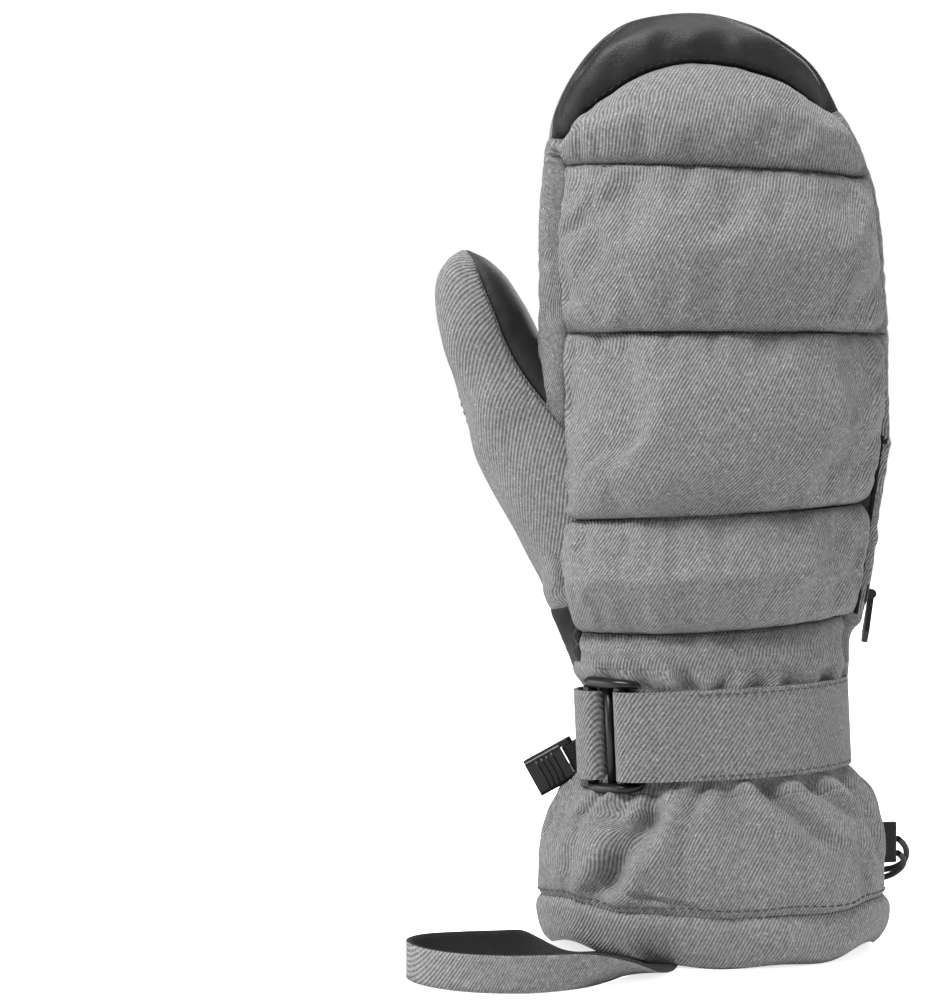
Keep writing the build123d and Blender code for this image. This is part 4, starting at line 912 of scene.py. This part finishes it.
def cuff_points():
    """The cuff's and the wrist's surface with its folds and gathers, in mm, and the heights of its rows."""
    heights = np.concatenate([
        HEM_ROUND * (1 - np.cos(np.linspace(0, math.pi / 2, 8)))[:-1],
        np.linspace(HEM_ROUND, CUFF_NARROW, 46)[:-1],
        np.linspace(CUFF_NARROW, CUFF_OUTLINE[-1][0], 26),
    ])
    angle = ring_angles(CUFF_COLUMNS)
    h = heights[:, None]
    left, right, depth = (along(CUFF_OUTLINE, h, k) for k in (1, 2, 3))
    x = (left + right) / 2 + (right - left) / 2 * np.cos(angle)
    y = depth * np.sin(angle)
    points = np.stack([x, y, h + 0 * x], axis=2)
    normal = grid_normals(points)
    relief = fold_relief(points) * unit((h - 17) / 6) * unit((66 - h) / 6)
    relief = relief + Ripple(26)(points) * 1.2 * unit((66 - h) / 10) * unit(h / 8)
    # gathers above and below the strap
    pleat = Ripple(7.5, stretch=(1, 1, 9))
    relief = relief + pleat(points) * 1.3 * bell((h - 61) / 5.0)
    relief = relief + (gathers(points) + 0.4) * unit((h - 84) / 8)
    # zigzag shirring over the elastic on the palm side
    palm = unit((y - 4) / 8)
    wave = np.cos(2 * math.pi * (x / 7.0 + 0.35 * np.sin(2 * math.pi * h / 8.0)))
    relief = relief + palm * 1.2 * wave * np.exp(-(((h - 76) / 9.0) ** 4))
    # hem: small puckers below its seam
    pucker = Ripple(12, stretch=(1, 1, 3))
    relief = relief + pucker(points) * 0.45 * bell((h - 14) / 9.0)
    relief = relief - 0.7 * bell((h - HEM_SEAM) / 1.3)
    points = points + normal * relief[:, :, None]
    # the hem rises at the thumb side, most at the front, and a little at the other side
    turn = np.degrees(angle)
    rise = 4.3 * bell((turn - 208) / 26) + 3.4 * bell((turn - 338) / 20)
    rise = rise + 0.5 * (1 + np.sin(np.radians(turn) * 9))
    points[:, :, 2] += rise * unit((40 - h) / 40)
    return points, heights


def make_cuff():
    """The panels of the cuff and the wrist, with the hem's thread."""
    points, heights = cuff_points()
    points = points * MM
    normal = grid_normals(points)

    def panel_of(row, column):
        if heights[row] < HEM_PANEL_TOP:
            return "hem"
        part = "cuff" if heights[row] < CUFF_PANEL_TOP else "wrist"
        return part + ("_back_panel" if column >= CUFF_COLUMNS / 2 else "_palm_panel")

    cut_panels(points, panel_of, CUFF_COLUMNS * 3 // 4, 1.6)
    row = int(np.searchsorted(heights, STITCH_LEVEL))
    line, up = (np.concatenate([grid[row], grid[row][:1]]) for grid in (points, normal))
    piece(stitches("hem_stitches", line, up, THREAD, 0.1 * MM))
    return points, normal, heights


LINING_COLUMNS = 96
CUFF_INSET, FOLD_INSET = 4.8, 4.6  # the lining lies inside the cuff, and further inside where the cuff is folded
HAND_INSET, HAND_DEPTH_INSET, THUMB_INSET = 11, 10.4, 6.5


def bag(name, points, replaced):
    """A thin lining tube on a closed grid of points in mm."""
    faces = grid_faces(len(points), LINING_COLUMNS, True)
    obj = new_object(name, points.reshape(-1, 3) * MM, faces, LINING)
    thicken(obj, 0.8 * MM)
    piece(obj, replaced)


def make_linings():
    """The linings seen through the cuff's mouth, and the bags inside the hand and the thumb."""
    angle = ring_angles(LINING_COLUMNS)
    h = np.linspace(20, HAND_LOW, 24)[:, None]
    left, right, depth = (along(CUFF_OUTLINE, h, k) for k in (1, 2, 3))
    inset = CUFF_INSET + FOLD_INSET * unit((h - 22) / 8) * unit((72 - h) / 8)
    x = (left + right) / 2 + ((right - left) / 2 - inset) * np.cos(angle)
    points = np.stack([x, (depth - inset) * np.sin(angle), h + 0 * x], axis=2)
    points = points + grid_normals(points) * (Ripple(9, stretch=(1, 1, 6))(points) * 0.5)[:, :, None]
    bag("cuff_lining_cloth", points, ["cuff_lining"])

    tip = 290 + 18 * np.sin(np.linspace(0.1, math.pi / 2, 10))
    h = np.concatenate([np.linspace(HAND_LOW, 290, 40), tip])[:, None]
    # the bag is shorter than the hand, so its own heights are stretched over the hand's outline
    left, right, depth = (along(HAND_OUTLINE, h + 13 * (h - HAND_LOW) / 225, k) for k in (1, 2, 3))
    shrink = np.clip((right - left - 2 * HAND_INSET) / (right - left), 0.1, 1)
    x = (left + right) / 2 + (right - left) / 2 * shrink * np.cos(angle)
    y = depth * np.clip((depth - HAND_DEPTH_INSET) / depth, 0.1, 1) * np.sin(angle)
    bag("hand_lining_cloth", np.stack([x, y, h + 0 * x], axis=2), ["hand_lining", "hand_insulation"])

    h = np.linspace(120, THUMB_ROUND, 36)[:, None]
    left, right, middle, depth = (along(THUMB_OUTLINE, h, k) for k in (1, 2, 3, 4))
    x = (left + right) / 2 + np.maximum((right - left) / 2 - THUMB_INSET, 1) * np.cos(angle)
    y = middle + np.maximum(depth - THUMB_INSET, 1) * np.sin(angle)
    bag("thumb_lining_cloth", np.stack([x, y, h + 0 * x], axis=2), ["thumb_lining", "thumb_insulation"])


# --- leash ---

LEASH_WIDTH, LEASH_THICKNESS, LEASH_RISE, LEASH_LIFT = 12.0, 1.2, 0.3, 1.6
# x, y, roll (0 on edge, 90 lying flat), share of the lift
LEASH_STATIONS = [
    (-20.0, -31.5, 90.0, 0.0),
    (-22.5, -42.0, 90.0, 0.0),
    (-27.5, -53.5, 80.0, 0.0),
    (-36.5, -64.5, 48.0, 0.0),
    (-49.0, -73.0, 15.0, 0.0),
    (-66.0, -78.5, 0.0, 0.0),
    (-84.0, -76.5, 0.0, 0.0),
    (-98.0, -67.5, 0.0, 0.0),
    (-104.5, -54.5, 0.0, 0.0),
    (-100.0, -44.0, 0.0, 0.0),
    (-87.0, -39.5, 0.0, 0.0),
    (-72.0, -37.0, 2.0, 0.0),
    (-61.0, -35.0, 50.0, 0.1),
    (-51.0, -33.0, 84.0, 0.6),
    (-40.0, -31.8, 90.0, 1.0),
    (-29.0, -31.5, 90.0, 1.0),
    (-17.0, -31.5, 90.0, 1.0),
]


LEASH_STEPS = 8


def smooth_rows(table):
    """A table's rows with more in between, on a smooth curve through all of them."""
    padded = np.vstack([table[0], table, table[-1]])
    rows = []
    for i in range(len(table) - 1):
        p0, p1, p2, p3 = padded[i : i + 4]
        square, cube = 2 * p0 - 5 * p1 + 4 * p2 - p3, 3 * p1 - p0 - 3 * p2 + p3
        for t in np.linspace(0, 1, LEASH_STEPS, endpoint=False):
            rows.append(0.5 * (2 * p1 + (p2 - p0) * t + square * t**2 + cube * t**3))
    return np.array(rows + [table[-1]])


def make_leash():
    """The leash's band: grey outside and black inside, standing on its edge where it is loose."""
    rows = smooth_rows(np.array(LEASH_STATIONS))
    direction = np.gradient(rows[:, :2], axis=0)
    direction /= np.linalg.norm(direction, axis=1, keepdims=True)
    roll = np.radians(np.clip(rows[:, 2], 0, 90))
    half = LEASH_THICKNESS / 2
    height = LEASH_WIDTH / 2 * np.cos(roll) + half * np.sin(roll) + LEASH_RISE + LEASH_LIFT * rows[:, 3]
    lateral = np.stack([-direction[:, 1], direction[:, 0], 0 * roll], axis=1)
    upward = lateral * np.sin(roll)[:, None] + np.array([0, 0, 1]) * np.cos(roll)[:, None]
    outward = np.cross(upward, np.column_stack([direction, 0 * roll]))
    centre = np.column_stack([rows[:, :2], height])
    across = np.linspace(-0.5, 0.5, 7)
    points = centre[:, None, :] + upward[:, None, :] * (across * LEASH_WIDTH)[None, :, None]
    grey = (points + outward[:, None, :] * half) * MM
    black = (points - outward[:, None, :] * half) * MM
    long, wide = grey.shape[:2]
    all_grey = long * wide
    both = np.concatenate([grey.reshape(-1, 3), black.reshape(-1, 3)])
    front = grid_faces(long, wide, False)
    back = [tuple(reversed([i + all_grey for i in face])) for face in front]
    # the outline of the grey side, each edge joined to the black side's
    outline = [(r * wide + side, (r + 1) * wide + side) for r in range(long - 1) for side in (0, wide - 1)]
    outline += [(r * wide + c, r * wide + c + 1) for r in (0, long - 1) for c in range(wide - 1)]
    rim = [(a, b, b + all_grey, a + all_grey) for a, b in outline]
    obj = new_object("leash_band_cloth", both, front + back + rim, LEASH_GREY)
    obj.data.materials.append(WEBBING)
    for polygon in obj.data.polygons:
        polygon.material_index = 0 if polygon.index < len(front) else 1
    face_outward(obj)
    piece(obj, ["leash_band"])


# --- cords ---


def cord(name, route, diameter, node):
    """A free cord on one smooth line through given points."""
    curve = bpy.data.curves.new(name, "CURVE")
    curve.dimensions = "3D"
    spline = curve.splines.new("NURBS")
    spline.points.add(len(route) - 1)
    for point, place in zip(spline.points, route):
        point.co = (*[v * MM for v in place], 1)
    spline.order_u = 3
    spline.use_endpoint_u = True
    spline.resolution_u = 12
    curve.bevel_depth = diameter * MM / 2
    curve.bevel_resolution = 5
    curve.use_fill_caps = True
    curve.materials.append(CORD)
    obj = bpy.data.objects.new(name, curve)
    bpy.context.scene.collection.objects.link(obj)
    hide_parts(node)
    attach(obj, BODY)
    bare = curve.copy()
    bare.bevel_depth = 0
    probe = bpy.data.objects.new("probe", bare)
    bpy.context.scene.collection.objects.link(probe)
    mesh = bpy.data.meshes.new_from_object(probe.evaluated_get(bpy.context.evaluated_depsgraph_get()))
    bpy.data.objects.remove(probe, do_unlink=True)


# each cord's route, diameter and far end
CORD_ROUTES = {
    "drawcord_strand_1": ([(36.4, 33.2, 12.0), (42.2, 42.6, 12.0), (51.1, 74.4, 12.0)], 2.8, "fitting"),
    "drawcord_strand_2": ([(39.2, 31.5, 12.0), (45.2, 41.2, 12.0), (54.3, 73.5, 12.0)], 2.8, "object"),
    "tether_leg_1": (
        [(65.9, 11.3, 35.0), (70.9, 20.3, 31.0), (71.9, 34.3, 22.0), (63.9, 45.3, 17.5), (51.3, 52.1, 18.0)],
        2.2,
        "object",
    ),
    "tether_leg_2": (
        [(65.9, 11.3, 30.0), (70.9, 20.3, 26.0), (67.9, 34.3, 18.0), (59.9, 45.3, 14.5), (51.3, 52.1, 15.2)],
        2.2,
        "object",
    ),
}


# --- hardware ---


def paint(material, names):
    """Gives CAD pieces whose shape stays a better material."""
    for name in names:
        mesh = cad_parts[name].data
        mesh.materials.clear()
        mesh.materials.append(material)


def strap_threads():
    """Topstitching along both edges of the strap's free part."""
    inward = np.array([0, 1, 0])
    middle = np.array([0, 0, STRAP_MIDDLE_Z])
    for number, edge in enumerate((-STRAP_STITCH_Z, STRAP_STITCH_Z)):
        line, normals = [], []
        for turn in np.radians(np.linspace(*STRAP_ARC, 90)):
            n = np.array([math.cos(turn) / STRAP_ACROSS, math.sin(turn) / STRAP_THROUGH])
            n /= np.linalg.norm(n)
            flat = np.array([STRAP_ACROSS * math.cos(turn), STRAP_THROUGH * math.sin(turn)]) + n * STRAP_FACE
            line.append(middle + (STRAP_SIDE * flat[0] + inward * flat[1] + STRAP_UP * edge) * MM)
            normals.append(STRAP_SIDE * n[0] + inward * n[1])
        piece(stitches(f"strap_stitches_{number + 1}", line, normals, THREAD), body="strap_flap")


BAR_SIDES, BAR_SQUARENESS = 14, 0.8


def swept(name, centres, side, up, half_widths, half_heights):
    """A rounded plastic bar through section centres; each section is a superellipse in the side and up directions."""
    points = []
    for centre, wide, high in zip(centres, half_widths, half_heights):
        for turn in range(BAR_SIDES):
            c, s = (trig(2 * math.pi * turn / BAR_SIDES) for trig in (math.cos, math.sin))
            across = side * wide * abs(c) ** BAR_SQUARENESS * np.sign(c)
            points.append(centre + across + up * high * abs(s) ** BAR_SQUARENESS * np.sign(s))
    faces = grid_faces(len(centres), BAR_SIDES, True)
    faces.append(tuple(reversed(range(BAR_SIDES))))
    faces.append(tuple(range((len(centres) - 1) * BAR_SIDES, len(centres) * BAR_SIDES)))
    obj = new_object(name, np.array(points), faces, PLASTIC)
    face_outward(obj)
    return obj


def joined(name, parts):
    """One object made of several."""
    bpy.ops.object.select_all(action="DESELECT")
    for part in parts:
        part.select_set(True)
    bpy.context.view_layer.objects.active = parts[0]
    bpy.ops.object.join()
    parts[0].name = name
    return parts[0]


# middles of the ring's inner and outer bars, and its sizes (mm)
RING_INNER = np.array([-41.8, -17.32, 75.18])
RING_OUTER = np.array([-31.37, -26.83, 75.64])
RING_BAR, RING_HALF_LENGTH, RING_END_Z = 1.6, 16.6, 16.1
RING_END_FROM, RING_END_TO, RING_END_HALF = -3.4, 19.5, 2.6
RING_SECTIONS = 26


def make_ring():
    """The strap's three-bar ring: round bars and curved, tapering end pieces."""
    lengthwise = (RING_OUTER - RING_INNER) / np.linalg.norm(RING_OUTER - RING_INNER)
    outward = np.cross(lengthwise, STRAP_UP)
    if outward[1] > 0:
        outward = -outward
    parts = []
    for share in (0, 0.5, 1):
        middle = RING_INNER + (RING_OUTER - RING_INNER) * share
        centres = [(middle + STRAP_UP * k) * MM for k in np.linspace(-RING_HALF_LENGTH, RING_HALF_LENGTH, 3)]
        parts.append(swept("ring_bar", centres, lengthwise, outward, [RING_BAR * MM] * 3, [RING_BAR * MM] * 3))
    for direction in (-1, 1):
        centres, wides, highs = [], [], []
        for s in np.linspace(RING_END_FROM, RING_END_TO, RING_SECTIONS):
            share = (s - RING_END_FROM) / (RING_END_TO - RING_END_FROM)
            tip = math.sqrt(max(0.02, 1 - abs(2 * share - 1) ** 6))
            high = (2.1 - 0.7 * share) * tip
            bow = 1.3 * math.sin(math.pi * share) - 1.6 * max(0, share - 0.7) / 0.3
            place = RING_INNER + lengthwise * s + outward * bow
            centres.append((place + STRAP_UP * direction * (RING_END_Z + high)) * MM)
            wides.append(RING_END_HALF * tip * MM)
            highs.append(high * MM)
        parts.append(swept("ring_end", centres, outward, STRAP_UP, wides, highs))
    piece(joined("strap_ring_piece", parts), ["strap_ring"], body="ring")


CLIP_DROP = math.radians(29)
CLIP_BAR = np.array([-47.6, 3.0, 65.5])
CLIP_FACE_Y, RIB_HALF_LENGTH, RIB_HALF = 3.2, 5.2, 0.6


def make_clip_ribs():
    """Grip ribs across the free end of the clip."""
    along_clip = np.array([-math.cos(CLIP_DROP), 0, -math.sin(CLIP_DROP)])
    wide = np.array([math.sin(CLIP_DROP), 0, -math.cos(CLIP_DROP)])
    sizes = np.array([0.5, 1, 1, 1, 0.5]) * RIB_HALF * MM
    for number, distance in enumerate((7.0, 9.0, 11.0, 13.0)):
        parts = []
        for side in (-1, 1):
            middle = CLIP_BAR + along_clip * distance + np.array([0, CLIP_FACE_Y * side, 0])
            centres = [(middle + wide * k) * MM for k in np.linspace(-RIB_HALF_LENGTH, RIB_HALF_LENGTH, 5)]
            parts.append(swept("rib", centres, along_clip, np.array([0, 1.0, 0]), sizes, sizes))
        piece(joined(f"clip_rib_{number + 1}", parts), body="clip")


LABEL_ANGLE, LABEL_TOP, LABEL_BOTTOM, LABEL_HALF = 151, 78.0, 42.0, 6.5
LABEL_ROWS, LABEL_COLUMNS = 14, 9


def make_label(cuff, normal, heights):
    """The blank label: a straight folded strip that hangs beside the cuff at the thumb side."""
    column = int(CUFF_COLUMNS * LABEL_ANGLE / 360)
    top, bottom = (int(np.searchsorted(heights, z)) for z in (LABEL_TOP, LABEL_BOTTOM))
    start = cuff[top, column] + normal[top, column] * 1.2 * MM
    end = cuff[bottom, column] + normal[bottom, column] * 2.6 * MM
    side = np.array([0.35, 0.94, 0.0])
    rows = []
    for share in np.linspace(0, 1, LABEL_ROWS):
        centre = start + (end - start) * share + np.array([-1.0, 0, 0]) * math.sin(math.pi * share) * 1.2 * MM
        rows.append([centre + side * k * MM for k in np.linspace(-LABEL_HALF, LABEL_HALF, LABEL_COLUMNS)])
    faces = grid_faces(LABEL_ROWS, LABEL_COLUMNS, False)
    obj = new_object("care_label_cloth", np.array(rows).reshape(-1, 3), faces, LABEL)
    thicken(obj, 0.5 * MM, 0.0)
    piece(obj, ["care_label"])


# --- studio ---


FLOOR_GLOW, SKY_LIGHT, SKY_SEEN = 0.75, 0.27, 1.0  # glow of the floor and strength of the sky, in light and in view
LIGHT_AIM = Vector((-0.02, 0, 0.16))
CAMERA_PLACE, CAMERA_LENS, CAMERA_SHIFT = (-0.083, -0.95, 0.19), 98.6, (-0.007, -0.103)


def studio():
    """White floor, soft sky, five lamps and the camera."""
    floor_material = Nodes("studio_white", roughness=0.9, specular=0.1)
    floor_material.colour((0.92, 0.92, 0.92))
    seen = floor_material.add("ShaderNodeLightPath").outputs["Is Camera Ray"]
    floor_material.shader.inputs["Emission Color"].default_value = (1, 1, 1, 1)
    glow = floor_material.math("MULTIPLY", seen, FLOOR_GLOW)
    floor_material.link(glow, floor_material.shader.inputs["Emission Strength"])
    bpy.ops.mesh.primitive_plane_add(size=40, location=(0, 10.0, 0))
    floor = bpy.context.object
    floor.name = "floor"
    floor.data.materials.append(floor_material.material)
    world = bpy.data.worlds.new("soft_light")
    bpy.context.scene.world = world
    world.use_nodes = True
    background = world.node_tree.nodes["Background"]
    background.inputs[0].default_value = (1, 1, 1, 1)
    path = world.node_tree.nodes.new("ShaderNodeLightPath")
    strength = world.node_tree.nodes.new("ShaderNodeMapRange")
    strength.inputs["To Min"].default_value = SKY_LIGHT
    strength.inputs["To Max"].default_value = SKY_SEEN
    world.node_tree.links.new(path.outputs["Is Camera Ray"], strength.inputs["Value"])
    world.node_tree.links.new(strength.outputs["Result"], background.inputs[1])
    for name, place, size, power in (
        ("key_light", (-0.6, -0.5, 1.35), 0.4, 34),
        ("fill_light", (1.3, -0.4, 0.4), 0.7, 8),
        ("left_light", (-1.3, 0.0, 0.35), 0.7, 10),
        ("back_light", (0.8, 1.2, 0.9), 0.9, 16),
        ("top_light", (0.2, 0.1, 1.5), 0.7, 12),
    ):
        light = bpy.data.lights.new(name, "AREA")
        light.size = size
        light.energy = power
        obj = bpy.data.objects.new(name, light)
        obj.location = place
        obj.rotation_euler = (LIGHT_AIM - Vector(place)).to_track_quat("-Z", "Y").to_euler()
        bpy.context.scene.collection.objects.link(obj)
    bpy.context.scene.view_settings.view_transform = "Standard"
    camera_data = bpy.data.cameras.new("camera")
    camera = bpy.data.objects.new("camera", camera_data)
    bpy.context.scene.collection.objects.link(camera)
    camera.location = CAMERA_PLACE
    camera.rotation_euler = (math.pi / 2, 0, 0)
    camera_data.lens = CAMERA_LENS
    camera_data.shift_x, camera_data.shift_y = CAMERA_SHIFT
    bpy.context.scene.camera = camera


studio()
for cord_name, (cord_route, cord_width, cord_end) in CORD_ROUTES.items():
    cord(cord_name + "_cord", cord_route, cord_width, cord_name)
make_hand()
make_thumb()
make_label(*make_cuff())
make_ring()
make_clip_ribs()
make_linings()
make_leash()
strap_threads()
for look, names in (
    (STRAP_GREY, ("strap_base", "strap_tail", "ring_tab")),
    (PATCH, ("hook_face", "loop_face", "zip_tape")),
    (WEBBING, ("clip_webbing", "tether_tab", "leash_root")),
    (METAL, ("eyelet", "lock_spring")),
    (CORD, ("drawcord_hem_run",)),
    (PLASTIC, ("clip_body", "lock_barrel", "lock_button", "cord_end")),
    (PLASTIC, ("zip_chain", "zip_stops", "zip_slider", "zip_puller")),
):
    paint(look, names)
